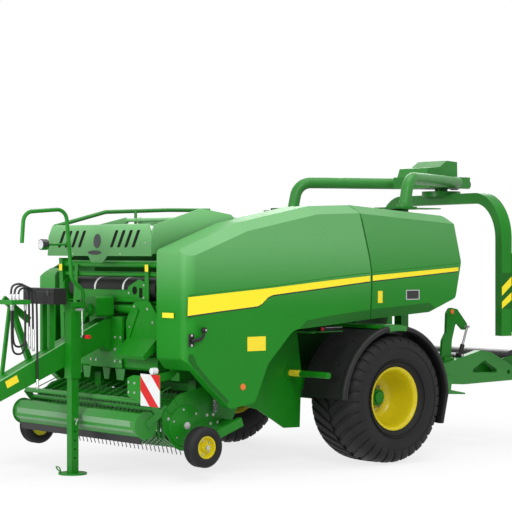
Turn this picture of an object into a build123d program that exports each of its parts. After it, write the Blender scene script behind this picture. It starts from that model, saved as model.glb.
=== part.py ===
from build123d import *
import math
import os

# Round baler with bale wrapper, towed on one axle. Millimetres, degrees.
# While modelling, X = 0 is the wheel axle, +X forward, +Y left, Z = 0 the ground. Every piece is
# shifted by MIDDLE_X when it is written, so that the origin is under the middle of the machine.

# Overall reach
HITCH_X = 4060.0
HITCH_Z = 520.0
HITCH_BORE = 50.0
HITCH_EYE = 112.0
REAR_X = -2960.0
MIDDLE_X = (HITCH_X + HITCH_EYE / 2 + REAR_X) / 2

# Clearances
SEAT = 0.3
PLAY = 6.0
SPIN_PLAY = 0.05

# Road wheels
TYRE_D = 1240.0
TYRE_W = 630.0
TYRE_SIDES = 22
TRACK = 2370.0
RIM_D = 590.0
RIM_W = 500.0
RIM_WALL = 12.0
RIM_DISC_IN = 60.0
LUG_HEIGHT = 18.0
LUG_COUNT = 22
LUG_W = 46.0
LUG_SWEEP = 150.0
LUG_DEPTH = 60.0
CARCASS = 26.0
AXLE_BEAM = 130.0
SPINDLE_D = 90.0
HUB_D = 190.0
HUB_LENGTH = 150.0
DRUM_D = 330.0
DRUM_W = 110.0
FENDER_GAP = 45.0
FENDER_SKIN = 10.0
FENDER_SPLIT = 82.0
FENDER_FLAP = 290.0
FENDER_EDGE_W = 46.0
FENDER_EDGE_H = 26.0
AXLE_Z = TYRE_D / 2
WHEEL_Y = TRACK / 2
TYRE_IN_Y = WHEEL_Y - TYRE_W / 2

# Pressing chamber, for a bale 1.2 m wide
CHAMBER_X = 100.0
CHAMBER_Z = 1510.0
CHAMBER_R = 650.0
BALE_W = 1220.0
WALL = 10.0
ROLLER_D = 160.0
SPLIT_GAP = 8.0
WALL_Y = BALE_W / 2
GATE_HINGE_X = 260.0
GATE_HINGE_Z = 2300.0
GATE_HINGE_D = 50.0
GATE_OPEN = 58.0

# Tailgate cylinders, one outside each chamber wall
GATE_CYL_Y = 690.0
GATE_CYL_BASE_X = 200.0
GATE_CYL_BASE_Z = 1850.0
GATE_CYL_EYE_X = -160.0
GATE_CYL_EYE_Z = 2200.0
GATE_BARREL_D = 78.0
GATE_ROD_D = 45.0
GATE_PIN_D = 36.0
GATE_ROD_SHOWN = 80.0
GATE_EYE_D = 124.0
GATE_EYE_BORE = 88.0

# Main frame
BEAM_Y = 700.0
BEAM_W = 100.0
BEAM_H = 150.0
BEAM_Z = 700.0
FRAME_FRONT_X = 1900.0
FRAME_REAR_X = -640.0
SIDE_PLATE = 12.0
SIDE_PLATE_Y = 828.0
PILLAR_X = 2240.0
PILLAR_Y = 800.0
PILLAR_W = 60.0
PILLAR_TOP = 1960.0
TOWER_FRONT_X = 2310.0

# Drawbar
DRAWBAR_W = 150.0
DRAWBAR_ROOT_X = TOWER_FRONT_X + SEAT
DRAWBAR_TOP_ROOT_Z = 1400.0
DRAWBAR_ROOT_H = 270.0
DRAWBAR_TIP_H = 130.0

# Input shaft and tool box
SHAFT_D = 44.45
SHAFT_Z = 1480.0
SHAFT_LENGTH = 100.0
TOOLBOX_Z = 1545.0
HOLDER_Y = -75.0
HOLDER_RACK_Z = 1590.0
HOSE_D = 19.0
HOSE_BEND = 80.0

# Parking jack
JACK_X = 2790.0
JACK_LEG = 76.0
JACK_SLEEVE = 106.0
JACK_Y = DRAWBAR_W / 2 + JACK_SLEEVE / 2 + SEAT
JACK_SLEEVE_LOW = 870.0
JACK_SLEEVE_TOP = 1550.0
JACK_TRAVEL = 340.0
JACK_FOOT_D = 260.0
JACK_FOOT_T = 16.0
JACK_PIN_PITCH = 80.0
JACK_PIN_D = 20.0
CRANK_Y = 285.0
CRANK_Z = 1495.0
CRANK_LENGTH = 240.0

# Pickup, parked raised
LIFT_X = 1560.0
LIFT_Z = 760.0
SHIELD_X = 2215.0
SHIELD_Z = 530.0
REEL_X = 2185.0
REEL_Z = 470.0
REEL_TIP_R = 300.0
REEL_BAR_R = 135.0
REEL_HALF = 960.0
TINE = 6.0
TINE_PITCH = 64.0
TINE_BARS = 5
BAND_R = 205.0
BAND_W = 46.0
PICKUP_SIDE_Y = 1010.0
PICKUP_SIDE = 8.0
GUARD_X = 2602.0
GUARD_Z = 492.0
GUARD_D = 226.0
GUARD_HALF = 980.0
COMB_X = 2560.0
COMB_Z = 690.0
COMB_PITCH = 128.0
GAUGE_X = 2226.0
GAUGE_Z = 306.0
GAUGE_D = 360.0
GAUGE_W = 150.0
GAUGE_RIM_D = 200.0
GAUGE_SIDES = 18
GAUGE_Y = 1320.0

# Warning board
BOARD = 280.0
BOARD_X = 2655.0
BOARD_Y = 990.0
BOARD_Z = 672.0

# Net roll across the front
NET_X = 2180.0
NET_Z = 1682.0
NET_END = 60.0

# Panel hinges: one rod along X on each side, that both panels of the side hang on
HINGE_ROD_D = 30.0
KNUCKLE_D = 52.0
KNUCKLE_W = 30.0
# side: (first X, last X, Y, Z, X of the arms to the chamber wall)
HINGE_RODS = {
    1: (-674.7, 850.0, 839.0, 2425.0, (335.0, 830.0)),
    -1: (-740.0, 1300.0, 884.0, 2212.0, (176.0, 655.0, 1285.0)),
}
# X of the knuckles on the rod, by panel
KNUCKLES = {
    "front_left": (450.0, 770.0),
    "rear_left": (-340.0, 130.0),
    "front_right": (720.0, 1220.0),
    "rear_right": (-640.0, 110.0),
}

# Side panels and hood
PANEL_Y = 1300.0
PANEL_FAR_Y = 1240.0
PANEL_SKIN = 14.0
PANEL_FLANGE = 95.0
PANEL_TOP_Y = 855.0
PANEL_REAR_TOP_Y = 985.0
PANEL_BEVEL_Y = 130.0
PANEL_BEVEL_Z = 80.0
PANEL_GAP = 10.0
PANEL_FAR_TOP = 2235.0
PANEL_FAR_TOP_Y = 900.0
HOOD_HALF = 830.0
HOOD_FRONT_X = 2430.0
HOOD_LOW_Z = 1980.0
HOOD_TOP_Z = 2265.0
HOOD_APEX_X = 1860.0
HOOD_APEX_Z = 2415.0
HOOD_HINGE_X = 1500.0
HOOD_HINGE_Z = 2330.0
HOOD_HINGE_D = 36.0
HOOD_SKIN = 14.0
SLOT_COUNT = 4

# Wrapper
ROTOR_X = -2120.0
ROTOR_TURN = 12.0
ROTOR_R = 1150.0
ROTOR_BEAM_Z = 2580.0
ROTOR_ARM = 110.0
ROTOR_LOW_Z = 1150.0
ROTOR_BEND_R = 430.0
FILM_ROLL_L = 750.0
FILM_TANGENT = 300.0
POST_X = -725.0
POST_Y = 800.0
POST = 100.0
DECK_REAR_X = -1125.0
DECK_FRONT_X = -400.0
DECK_IN_Y = 745.0
DECK_OUT_Y = 960.0
DECK_Z = 2446.0
DECK = 12.0
TUBE_D = 120.0
TUBE_Z = 2760.0
TUBE_FOOT_Z = 2470.0
TUBE_FOOT_Y = 850.0
TUBE_HEAD_X = -2060.0
TUBE_HEAD_Y = 300.0
HEAD_TOP_Z = TUBE_Z + TUBE_D / 2
HEAD_REAR_X = -2290.0
HEAD_FRONT_X = -1660.0
HEAD_HALF = 270.0
COVER_HALF = 215.0
TABLE_Z = 860.0
TABLE_ROLLER_D = 200.0
TABLE_ROLLER_GAP = 840.0
TABLE_HALF = 640.0
TABLE_HINGE_X = ROTOR_X - 210
TABLE_HINGE_Z = TABLE_Z - 120
TABLE_PIN_D = 50.0
GUIDE_IN_Y = 670.0
GUIDE_OUT_Y = 700.0
# (x, z, corner radius) of the guide arms, kept out of the film arms' sweep
GUIDE_OUTLINE = [(-1400, 880), (-1420, 1100, 40), (-1475, 1180, 30), (-1485, 1380, 40), (-1530, 1440, 40),
                 (-1640, 1420, 40), (-1800, 1250, 30), (-1740, 1190, 30), (-1620, 1290, 30), (-1560, 1100, 60),
                 (-1540, 880)]


def block(x0, x1, y0, y1, z0, z1):
    """A box from its low and high corners."""
    centre = Pos((x0 + x1) / 2, (y0 + y1) / 2, (z0 + z1) / 2)
    return centre * Box(abs(x1 - x0), abs(y1 - y0), abs(z1 - z0))


def place(axis, u, v, along):
    """A point from its two profile coordinates and its place along the pushing axis."""
    return {"x": (along, u, v), "y": (u, along, v), "z": (u, v, along)}[axis]


def prism(axis, low, high, points):
    """A profile of (u, v) or (u, v, corner radius) points, pushed along an axis."""
    corners = [place(axis, p[0], p[1], low) for p in points]
    radii = [p[2] if len(p) > 2 else 0 for p in points]
    face = make_face(FilletPolyline(*corners, radius=radii, close=True))
    way = Vector(*place(axis, 0, 0, 1))
    return extrude(face, amount=high - low, dir=way)


def rod(start, end, diameter):
    """A round bar between two points."""
    a, b = Vector(*start), Vector(*end)
    plane = Plane(origin=a, z_dir=b - a)
    return extrude(plane * Circle(diameter / 2), amount=(b - a).length)


def faceted(loop, sides, centre):
    """A ring with flat sides about an axis along Y; the closed loop has (distance along Y, flats' radius) points."""
    cx, cy, cz = centre
    half_turn = math.pi / sides
    rings = []
    for along, flat_radius in loop:
        radius = flat_radius / math.cos(half_turn)
        rings.append([Vector(cx + radius * math.sin(half_turn * (2 * i + 1)), cy + along,
                             cz + radius * math.cos(half_turn * (2 * i + 1))) for i in range(sides)])
    faces = []
    for low, high in zip(rings, rings[1:] + rings[:1]):
        for i in range(sides):
            j = (i + 1) % sides
            faces.append(Face(Wire.make_polygon([low[i], low[j], high[j], high[i]])))
    form = Solid(Shell(faces))
    return form if form.volume > 0 else Solid(Shell([-face for face in faces]))


def bar(start, end, width, height, up=(0, 0, 1)):
    """A rectangular bar between two points; height lies along up."""
    a, b = Vector(*start), Vector(*end)
    side = Vector(*up).cross(b - a)
    plane = Plane(origin=a, x_dir=side, z_dir=b - a)
    return extrude(plane * Rectangle(width, height), amount=(b - a).length)


def pipe(points, diameter, radius):
    """A round tube's outer form along straight runs joined by bends."""
    path = FilletPolyline(*points, radius=radius)
    plane = Plane(origin=path @ 0, z_dir=path % 0)
    return sweep(plane * Circle(diameter / 2), path=path)


def ring(axis_at, axis, half, outer, inner=0.0):
    """A disc or ring about an axis, from its middle point and half length."""
    start = Vector(*axis_at) - Vector(*axis) * half
    plane = Plane(origin=start, z_dir=Vector(*axis))
    face = plane * (Circle(outer / 2) - Circle(inner / 2) if inner else Circle(outer / 2))
    return extrude(face, amount=2 * half)


def turned(points, centre, axis_y_sign=1):
    """A profile of (distance along Y, radius) points turned about a Y axis through centre."""
    cx, cy, cz = centre
    corners = [(cx, cy + axis_y_sign * p[0], cz + p[1]) for p in points]
    radii = [p[2] if len(p) > 2 else 0 for p in points]
    face = make_face(FilletPolyline(*corners, radius=radii, close=True))
    return revolve(face, axis=Axis((cx, cy, cz), (0, 1, 0)))


def mirrored(shape):
    return mirror(shape, about=Plane.XZ)


def joined(*pieces):
    """All pieces as one solid, or as the solids they stay."""
    whole = pieces[0]
    for piece in pieces[1:]:
        whole = whole + piece
    return whole


def save(name, shape):
    solids = shape.solids()
    moved = [Pos(-MIDDLE_X, 0, 0) * solid for solid in solids]
    export_step(moved[0] if len(moved) == 1 else Compound(children=moved), f"parts/{name}.step")
    print(name, len(solids), round(sum(s.volume for s in solids) / 1e6, 2), "litres")


# Road wheels

def tyre(side):
    """Wide flotation tyre: a carcass open towards the rim, with slanted lugs from its middle to its shoulders."""
    half, top = TYRE_W / 2, TYRE_D / 2 - LUG_HEIGHT
    bead = RIM_D / 2 - 22
    # (distance from the middle, radius) of one half of the section, from the bead to the crown
    outside = [(RIM_W / 2 - 15, bead), (RIM_W / 2, bead + 45), (half - 12, top - 215), (half, top - 150),
               (half - 22, top - 62), (half - 75, top - 16), (110, top)]
    inside = [(half - 100, top - 16 - CARCASS), (half - CARCASS, top - 150), (RIM_W / 2 - 15 - CARCASS, bead)]
    loop = outside + [(-y, r) for y, r in reversed(outside)] + [(-y, r) for y, r in reversed(inside)] + inside
    carcass = faceted(loop, TYRE_SIDES, (0, side * WHEEL_Y, AXLE_Z))
    return carcass + [lug for lug in tyre_lugs(side)]


def tyre_lugs(side):
    """Slanted bars: one row each side of the middle, set half a step apart, each with its end on the shoulder."""
    top, half = TYRE_D / 2, TYRE_W / 2
    reach, w = LUG_SWEEP / 2, LUG_W / 2
    crown = math.sqrt(top ** 2 - (reach + w) ** 2)
    lugs = []
    for row in (-1, 1):
        run = [(-reach - w, row * 12), (-reach + w, row * 12), (reach + w, row * (half - 42)),
               (reach - w, row * (half - 42))]
        bar_form = prism("z", crown - LUG_DEPTH, crown, run)
        turn = math.degrees(reach / top)
        end = Rot(0, turn, 0) * prism("y", *sorted((row * (half - 70), row * (half - 3))),
                                      [(-LUG_W / 2, top - 150), (LUG_W / 2, top - 150), (LUG_W / 2, top - 22),
                                       (-LUG_W / 2, top - 22)])
        one = bar_form + end
        step = 360 / LUG_COUNT
        for i in range(LUG_COUNT):
            lugs.append(Pos(0, side * WHEEL_Y, AXLE_Z) * Rot(0, (i + (0.5 if row > 0 else 0)) * step, 0) * one)
    return lugs


def rim(side):
    """Deep-dished rim with its disc near the inner side and the hub in its middle."""
    seat = RIM_D / 2 - 22 - SEAT
    lip, half = RIM_D / 2 + 8, RIM_W / 2
    outside = [(-half - 12, lip), (-half, lip), (-half + 14, seat), (-half + 90, seat),
               (-half + 120, seat - 60), (half - 120, seat - 60), (half - 90, seat),
               (half - 14, seat), (half, lip), (half + 12, lip)]
    inside = [(half + 12, lip - 20), (half - 10, seat - RIM_WALL), (half - 95, seat - RIM_WALL),
              (half - 125, seat - 60 - RIM_WALL), (-half + 125, seat - 60 - RIM_WALL),
              (-half + 95, seat - RIM_WALL), (-half + 10, seat - RIM_WALL), (-half - 12, lip - 20)]
    centre = (0, side * WHEEL_Y, AXLE_Z)
    barrel = turned(outside + inside, centre, side)
    disc_in = side * (WHEEL_Y - RIM_DISC_IN)
    disc = ring((0, disc_in, AXLE_Z), (0, 1, 0), 10, 2 * (seat - 60) - RIM_WALL)
    hub = ring((0, disc_in + side * 20, AXLE_Z), (0, 1, 0), HUB_LENGTH / 2, HUB_D)
    bore = ring((0, disc_in, AXLE_Z), (0, 1, 0), HUB_LENGTH, SPINDLE_D + 2 * SPIN_PLAY)
    cap_y = disc_in + side * (20 + HUB_LENGTH / 2)
    cap = ring((0, cap_y + side * 12, AXLE_Z), (0, 1, 0), 12, 120)
    holes = [Rot(0, 60 * i, 0) * Pos(0, 0, 155) * Rot(90, 0, 0) * Cylinder(24, 40) for i in range(6)]
    shape = joined(barrel, disc, hub) - bore + cap
    for hole in holes:
        shape = shape - Pos(0, disc_in, AXLE_Z) * hole
    return shape


def axle_beam():
    """Square beam across the machine, with brake drums' backing and a spindle each side."""
    inner = WHEEL_Y - RIM_DISC_IN - HUB_LENGTH / 2 + 20
    beam = block(-AXLE_BEAM / 2, AXLE_BEAM / 2, -BEAM_Y - BEAM_W, BEAM_Y + BEAM_W,
                 AXLE_Z - AXLE_BEAM / 2, AXLE_Z + AXLE_BEAM / 2)
    for side in (-1, 1):
        end = inner + HUB_LENGTH - 6
        beam += rod((0, side * (BEAM_Y + BEAM_W - 20), AXLE_Z), (0, side * end, AXLE_Z), SPINDLE_D)
        drum_y = inner - PLAY - DRUM_W / 2
        beam += ring((0, side * drum_y, AXLE_Z), (0, 1, 0), DRUM_W / 2, DRUM_D)
        for x in (-95, 95):
            beam += block(x - 25, x + 25, side * (BEAM_Y + 8), side * (BEAM_Y + BEAM_W - 8),
                          AXLE_Z - AXLE_BEAM / 2, BEAM_Z)
        beam += block(-120, 120, side * (BEAM_Y + 8), side * (BEAM_Y + BEAM_W - 8),
                      AXLE_Z - AXLE_BEAM / 2 - 12, AXLE_Z - AXLE_BEAM / 2)
        beam += block(-70, 70, side * (BEAM_Y + 8), side * (BEAM_Y + BEAM_W - 8),
                      AXLE_Z + AXLE_BEAM / 2, BEAM_Z)
    return beam


# Main frame

def chassis_frame():
    """Two long beams, cross members, side plates over the feeder and posts for the wrapper."""
    frame = None
    for side in (-1, 1):
        low, high = sorted((side * BEAM_Y, side * (BEAM_Y + BEAM_W)))
        beam = block(FRAME_REAR_X, FRAME_FRONT_X, low, high, BEAM_Z + SEAT, BEAM_Z + BEAM_H)
        y0, y1 = sorted((side * SIDE_PLATE_Y, side * (SIDE_PLATE_Y - SIDE_PLATE)))
        plate = prism("y", y0, y1, [(660, 345), (860, 350), (1190, 545), (1500, 620, 60),
                                    (1700, 700, 60), (1700, 900), (1250, 1300, 80), (700, 1300, 80),
                                    (640, 860, 40)])
        y2, y3 = sorted((side * (BEAM_Y + BEAM_W), side * SIDE_PLATE_Y))
        spacer = block(700, 1450, y2, y3, BEAM_Z + 20, BEAM_Z + BEAM_H - 20)
        post = block(POST_X - POST / 2, POST_X + POST / 2, side * (POST_Y - POST / 2),
                     side * (POST_Y + POST / 2), BEAM_Z + 20, TUBE_FOOT_Z - 30)
        foot = block(POST_X - 90, POST_X + 90, side * (POST_Y - 60), side * (TUBE_FOOT_Y + 80),
                     TUBE_FOOT_Z - 30, TUBE_FOOT_Z - SEAT)
        link = block(FRAME_REAR_X - 140, FRAME_REAR_X + 1, low, high, BEAM_Z + SEAT, BEAM_Z + BEAM_H)
        fender_z = AXLE_Z + (TYRE_D / 2 + FENDER_GAP + FENDER_SKIN) * math.sin(math.radians(FENDER_SPLIT)) + SEAT
        upright = block(-30, 30, side * 740, side * 790, BEAM_Z + BEAM_H - 1, fender_z + 30)
        bracket = block(-150, 150, side * 740, side * 1400, fender_z, fender_z + 30)
        half = joined(beam, plate, spacer, post, foot, link, upright, bracket)
        if side < 0:
            x0, _, y, z, _ = HINGE_RODS[side]
            half += block(x0, x0 + 30, side * POST_Y, side * (y - HINGE_ROD_D / 2 - SEAT), z - 10, z + 10)
        half += block(DECK_REAR_X, DECK_FRONT_X, side * DECK_IN_Y, side * DECK_OUT_Y, DECK_Z, DECK_Z + DECK)
        frame = half if frame is None else frame + half
    for x in (FRAME_REAR_X + 60, 760, 1560):
        frame += block(x - 50, x + 50, -BEAM_Y - 1, BEAM_Y + 1, BEAM_Z + 5, BEAM_Z + 75)
    return frame


def front_tower():
    """Pillars and cross tubes between the chassis and the hood."""
    tower = None
    for side in (-1, 1):
        y0, y1 = side * (PILLAR_Y - PILLAR_W / 2), side * (PILLAR_Y + PILLAR_W / 2)
        pillar = prism("y", min(y0, y1), max(y0, y1),
                       [(PILLAR_X - 160, BEAM_Z + BEAM_H + 60), (PILLAR_X + 30, 1000), (PILLAR_X + 60, PILLAR_TOP),
                        (PILLAR_X - 30, PILLAR_TOP), (PILLAR_X - 40, 1100), (PILLAR_X - 260, BEAM_Z + BEAM_H + 60)])
        shoe = block(FRAME_FRONT_X - 200, PILLAR_X - 130, side * (BEAM_Y + 10), side * (PILLAR_Y + 30),
                     BEAM_Z + BEAM_H + SEAT, BEAM_Z + BEAM_H + 80)
        half = joined(pillar, shoe)
        tower = half if tower is None else tower + half
    reach = PILLAR_Y - PILLAR_W / 2 + 1
    # (X, Z, diameter) of the round cross tubes
    for x, z, d in ((PILLAR_X + 10, 1905, 62), (PILLAR_X + 10, 1812, 45), (PILLAR_X + 5, 1245, 60)):
        tower += rod((x, -reach, z), (x, reach, z), d)
    front = TOWER_FRONT_X
    tower += prism("y", -reach, reach, [(PILLAR_X - 40, 1080), (front - 20, 1080), (front, 1060), (front, 960),
                                        (front - 20, 940), (PILLAR_X - 60, 960)])
    for side in (-1, 1):
        y0, y1 = sorted((side * 150, side * 210))
        tower += block(PILLAR_X - 20, front, y0, y1, 1079, DRAWBAR_TOP_ROOT_Z + 25)
    return tower


def drawbar():
    """Tapered beam sloping down from the tower to the hitch eye."""
    low_y, high_y = -DRAWBAR_W / 2, DRAWBAR_W / 2
    neck = HITCH_X - HITCH_EYE / 2
    beam = prism("y", low_y, high_y,
                 [(DRAWBAR_ROOT_X, DRAWBAR_TOP_ROOT_Z), (DRAWBAR_ROOT_X + 85, DRAWBAR_TOP_ROOT_Z),
                  (HITCH_X - 420, HITCH_Z + 300, 200), (neck + 10, HITCH_Z + DRAWBAR_TIP_H - 40),
                  (neck + 10, HITCH_Z - 45), (HITCH_X - 330, HITCH_Z + 90, 200),
                  (DRAWBAR_ROOT_X + 100, DRAWBAR_TOP_ROOT_Z - DRAWBAR_ROOT_H + 20),
                  (DRAWBAR_ROOT_X, DRAWBAR_TOP_ROOT_Z - DRAWBAR_ROOT_H - 60)])
    eye = ring((HITCH_X, 0, HITCH_Z), (0, 0, 1), 30, HITCH_EYE)
    cheek = block(neck - 60, HITCH_X - 20, -45, 45, HITCH_Z - 30, HITCH_Z + 30)
    bore = ring((HITCH_X, 0, HITCH_Z), (0, 0, 1), 60, HITCH_BORE)
    root = block(DRAWBAR_ROOT_X, DRAWBAR_ROOT_X + 25, -260, 260, 950, DRAWBAR_TOP_ROOT_Z + 20)
    stands = [block(2950, 3000, side * 74, side * 49, 1000, TOOLBOX_Z - SEAT) for side in (-1, 1)]
    return joined(beam, eye, cheek, root, *stands) - bore


def jack_sleeve():
    """Square sleeve beside the drawbar, with its crank box on top."""
    half, hole = JACK_SLEEVE / 2, JACK_LEG / 2 + SEAT
    sleeve = block(JACK_X - half, JACK_X + half, JACK_Y - half, JACK_Y + half,
                   JACK_SLEEVE_LOW, JACK_SLEEVE_TOP)
    sleeve -= block(JACK_X - hole, JACK_X + hole, JACK_Y - hole, JACK_Y + hole,
                    JACK_SLEEVE_LOW - 1, JACK_SLEEVE_TOP - 40)
    head = block(JACK_X - 65, JACK_X + 65, JACK_Y - 60, JACK_Y + 75, JACK_SLEEVE_TOP - 30,
                 JACK_SLEEVE_TOP + 12)
    return sleeve + head


def jack_crank():
    """Crank hanging at the sleeve's left side, with its grip turned outward."""
    y = JACK_Y + JACK_SLEEVE / 2 + SEAT
    shaft = rod((JACK_X, y, CRANK_Z), (JACK_X, CRANK_Y, CRANK_Z), 24)
    rise = rod((JACK_X, CRANK_Y - 8, CRANK_Z), (JACK_X, CRANK_Y, CRANK_Z - CRANK_LENGTH), 16)
    grip = rod((JACK_X, CRANK_Y - 8, CRANK_Z - CRANK_LENGTH), (JACK_X, CRANK_Y + 110, CRANK_Z - CRANK_LENGTH), 28)
    return joined(shaft, rise, grip)


def jack_leg():
    """Square leg on a round foot."""
    half = JACK_LEG / 2
    top = JACK_SLEEVE_TOP - 40 - JACK_TRAVEL - PLAY
    leg = block(JACK_X - half, JACK_X + half, JACK_Y - half, JACK_Y + half, JACK_FOOT_T, top)
    for i in range(4):
        z = 150 + i * JACK_PIN_PITCH
        leg -= rod((JACK_X, JACK_Y - 60, z), (JACK_X, JACK_Y + 60, z), JACK_PIN_D)
    foot = ring((JACK_X, JACK_Y, JACK_FOOT_T / 2), (0, 0, 1), JACK_FOOT_T / 2, JACK_FOOT_D)
    return leg + foot


def gearbox():
    """Main gearbox on the drawbar root, with its input shaft pointing forward."""
    z = SHAFT_Z
    x = DRAWBAR_ROOT_X + 25 + SEAT
    case = block(x, x + 195, -130, 130, DRAWBAR_TOP_ROOT_Z + 20, z + 130)
    case = fillet(case.edges().filter_by(Axis.X), 30)
    neck = rod((x + 194, 0, z), (x + 235, 0, z), 120)
    shaft = rod((x + 234, 0, z), (x + 235 + SHAFT_LENGTH, 0, z), SHAFT_D)
    feet = block(x, x + 45, -70, 70, DRAWBAR_TOP_ROOT_Z + SEAT, DRAWBAR_TOP_ROOT_Z + 30)
    return joined(case, neck, shaft, feet)


# Pressing chamber

def chamber_outline():
    """Fixed part of the chamber's side wall, in front of the split."""
    split = CHAMBER_X - 40
    low = CHAMBER_Z - CHAMBER_R - ROLLER_D - 5
    return [(split, CHAMBER_Z + 745), (1150, CHAMBER_Z + 745, 120), (2020, 1990, 100), (2080, 1150, 60),
            (1900, 860), (1500, 800, 60), (CHAMBER_X + 750, 860, 60), (CHAMBER_X + 300, low, 60), (split, low)]


def chamber_wall(side):
    y0, y1 = sorted((side * WALL_Y, side * (WALL_Y + WALL)))
    wall = prism("y", y0, y1, chamber_outline())
    # ribs pressed outward, (x0, z0, x1, z1) of their middle lines
    for x0, z0, x1, z1 in ((300, 1000, 1500, 1000), (300, 1400, 1900, 1400), (300, 1800, 1900, 1800),
                           (300, 2150, 1200, 2150)):
        wall += bar((x0, side * (WALL_Y + WALL + 14), z0), (x1, side * (WALL_Y + WALL + 14), z1), 30, 60)
    eye_y = WALL_Y + WALL + SEAT + 20
    eye = ring((GATE_HINGE_X, side * eye_y, GATE_HINGE_Z), (0, 1, 0), 20, 110, GATE_HINGE_D + 2 * SPIN_PLAY)
    ear = block(GATE_HINGE_X - 40, GATE_HINGE_X + 40, side * (WALL_Y + 1), side * (eye_y + 20),
                GATE_HINGE_Z - 110, GATE_HINGE_Z - 50)
    feet = [block(x - 60, x + 60, side * (WALL_Y + 1), side * (BEAM_Y - SEAT), 875, 1000 if x > 1200 else 960)
            for x in (900, 1450)]
    shelf = [block(x - 60, x + 60, side * (BEAM_Y - 60), side * (BEAM_Y + BEAM_W / 2), BEAM_Z + BEAM_H + SEAT, 920)
             for x in (900, 1450)]
    cylinder_pin = rod((GATE_CYL_BASE_X, side * (WALL_Y + 1), GATE_CYL_BASE_Z),
                       (GATE_CYL_BASE_X, side * (GATE_CYL_Y + 34), GATE_CYL_BASE_Z), GATE_PIN_D)
    low_feet = block(240, 420, side * (WALL_Y + 1), side * (BEAM_Y - SEAT), 740, 800)
    return joined(wall, eye, ear, cylinder_pin, low_feet, *feet, *shelf)


def roller_at(angle, half, diameter=ROLLER_D):
    r = CHAMBER_R + diameter / 2
    x = CHAMBER_X + r * math.cos(math.radians(angle))
    z = CHAMBER_Z + r * math.sin(math.radians(angle))
    return ring((x, 0, z), (0, 1, 0), half, diameter)


def front_rollers():
    """Rollers of the fixed part, from under the bale round the front to its top."""
    angles = [-84 + i * 21.5 for i in range(8)]
    pins = WALL_Y - SEAT
    return Compound(children=[roller_at(a, pins) for a in angles])


def gate_point(radius, angle):
    return (CHAMBER_X + radius * math.cos(math.radians(angle)),
            CHAMBER_Z + radius * math.sin(math.radians(angle)))


def tailgate():
    """Rear half of the chamber: two side plates with hinge arms, joined by bent cover plates."""
    outer = CHAMBER_R + ROLLER_D + 15
    split = CHAMBER_X - 40 - SPLIT_GAP
    low = CHAMBER_Z - CHAMBER_R - ROLLER_D - 5
    rear = [gate_point(outer / math.cos(math.radians(15)), a) for a in (120, 150, 180, 210, 240)]
    arm_low = CHAMBER_Z + 745 + SPLIT_GAP
    outline = [(split, low), (split, arm_low), (GATE_HINGE_X + 32, arm_low + 8, 20),
               (GATE_HINGE_X + 32, GATE_HINGE_Z + 32, 25), (-60, GATE_HINGE_Z + 60, 80)]
    outline += [(x, z, 120) for x, z in rear] + [(-60, low, 40)]
    gate = None
    for side in (-1, 1):
        y0, y1 = sorted((side * WALL_Y, side * (WALL_Y + WALL)))
        plate = prism("y", y0, y1, outline)
        for angle in (135, 170, 205):
            x, z = gate_point(CHAMBER_R + ROLLER_D, angle)
            u, w = gate_point(150, angle)
            plate += bar((u, side * (WALL_Y + WALL + 12), w), (x, side * (WALL_Y + WALL + 12), z), 50, 26,
                         up=(0, 1, 0))
        pin = rod((GATE_HINGE_X, side * (WALL_Y + 1), GATE_HINGE_Z),
                  (GATE_HINGE_X, side * (WALL_Y + WALL + SEAT + 46), GATE_HINGE_Z), GATE_HINGE_D)
        pin += rod((GATE_CYL_EYE_X, side * (WALL_Y + 1), GATE_CYL_EYE_Z),
                   (GATE_CYL_EYE_X, side * (GATE_CYL_Y + 34), GATE_CYL_EYE_Z), GATE_PIN_D)
        half = plate + pin
        gate = half if gate is None else gate + half
    corners = [(-60, GATE_HINGE_Z + 60)] + rear + [(-60, low)]
    for (x0, z0), (x1, z1) in zip(corners, corners[1:]):
        length = math.hypot(x1 - x0, z1 - z0)
        nx, nz = -(z1 - z0) / length * 6, (x1 - x0) / length * 6
        gate += bar((x0 + nx, 0, z0 + nz), (x1 + nx, 0, z1 + nz), 2 * WALL_Y + 2, 8, up=(nx, 0, nz))
    return gate


def gate_rollers():
    angles = [113 + i * 20 for i in range(8)]
    return Compound(children=[roller_at(a, WALL_Y - SEAT) for a in angles])


def feeder_housing():
    """Trough under the feed channel, between the side plates."""
    cx, cz, r, wall = 1560, 900, 330, 10
    low = [(cx + r * math.cos(math.radians(a)), cz + r * math.sin(math.radians(a)))
           for a in (-150, -120, -90, -60, -40)]
    high = [(cx + (r - wall) * math.cos(math.radians(a)), cz + (r - wall) * math.sin(math.radians(a)))
            for a in (-40, -60, -90, -120, -150)]
    half = BEAM_Y - SEAT
    return prism("y", -half, half, low + high)


def roof_cover():
    """Cover plate over the chamber between the hood and the tailgate."""
    z = CHAMBER_Z + 745
    plate = prism("y", -WALL_Y + 30, WALL_Y - 30, [(420, z + 85), (1280, z + 85), (1300, z + 60), (1300, z + 50),
                                                (1275, z + 75), (420, z + 75)])
    for x in (500, 1100):
        for side in (-1, 1):
            y0 = side * (WALL_Y - 40)
            plate += block(x - 30, x + 30, y0, side * (WALL_Y + WALL), z + SEAT, z + 80)
    return plate


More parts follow.
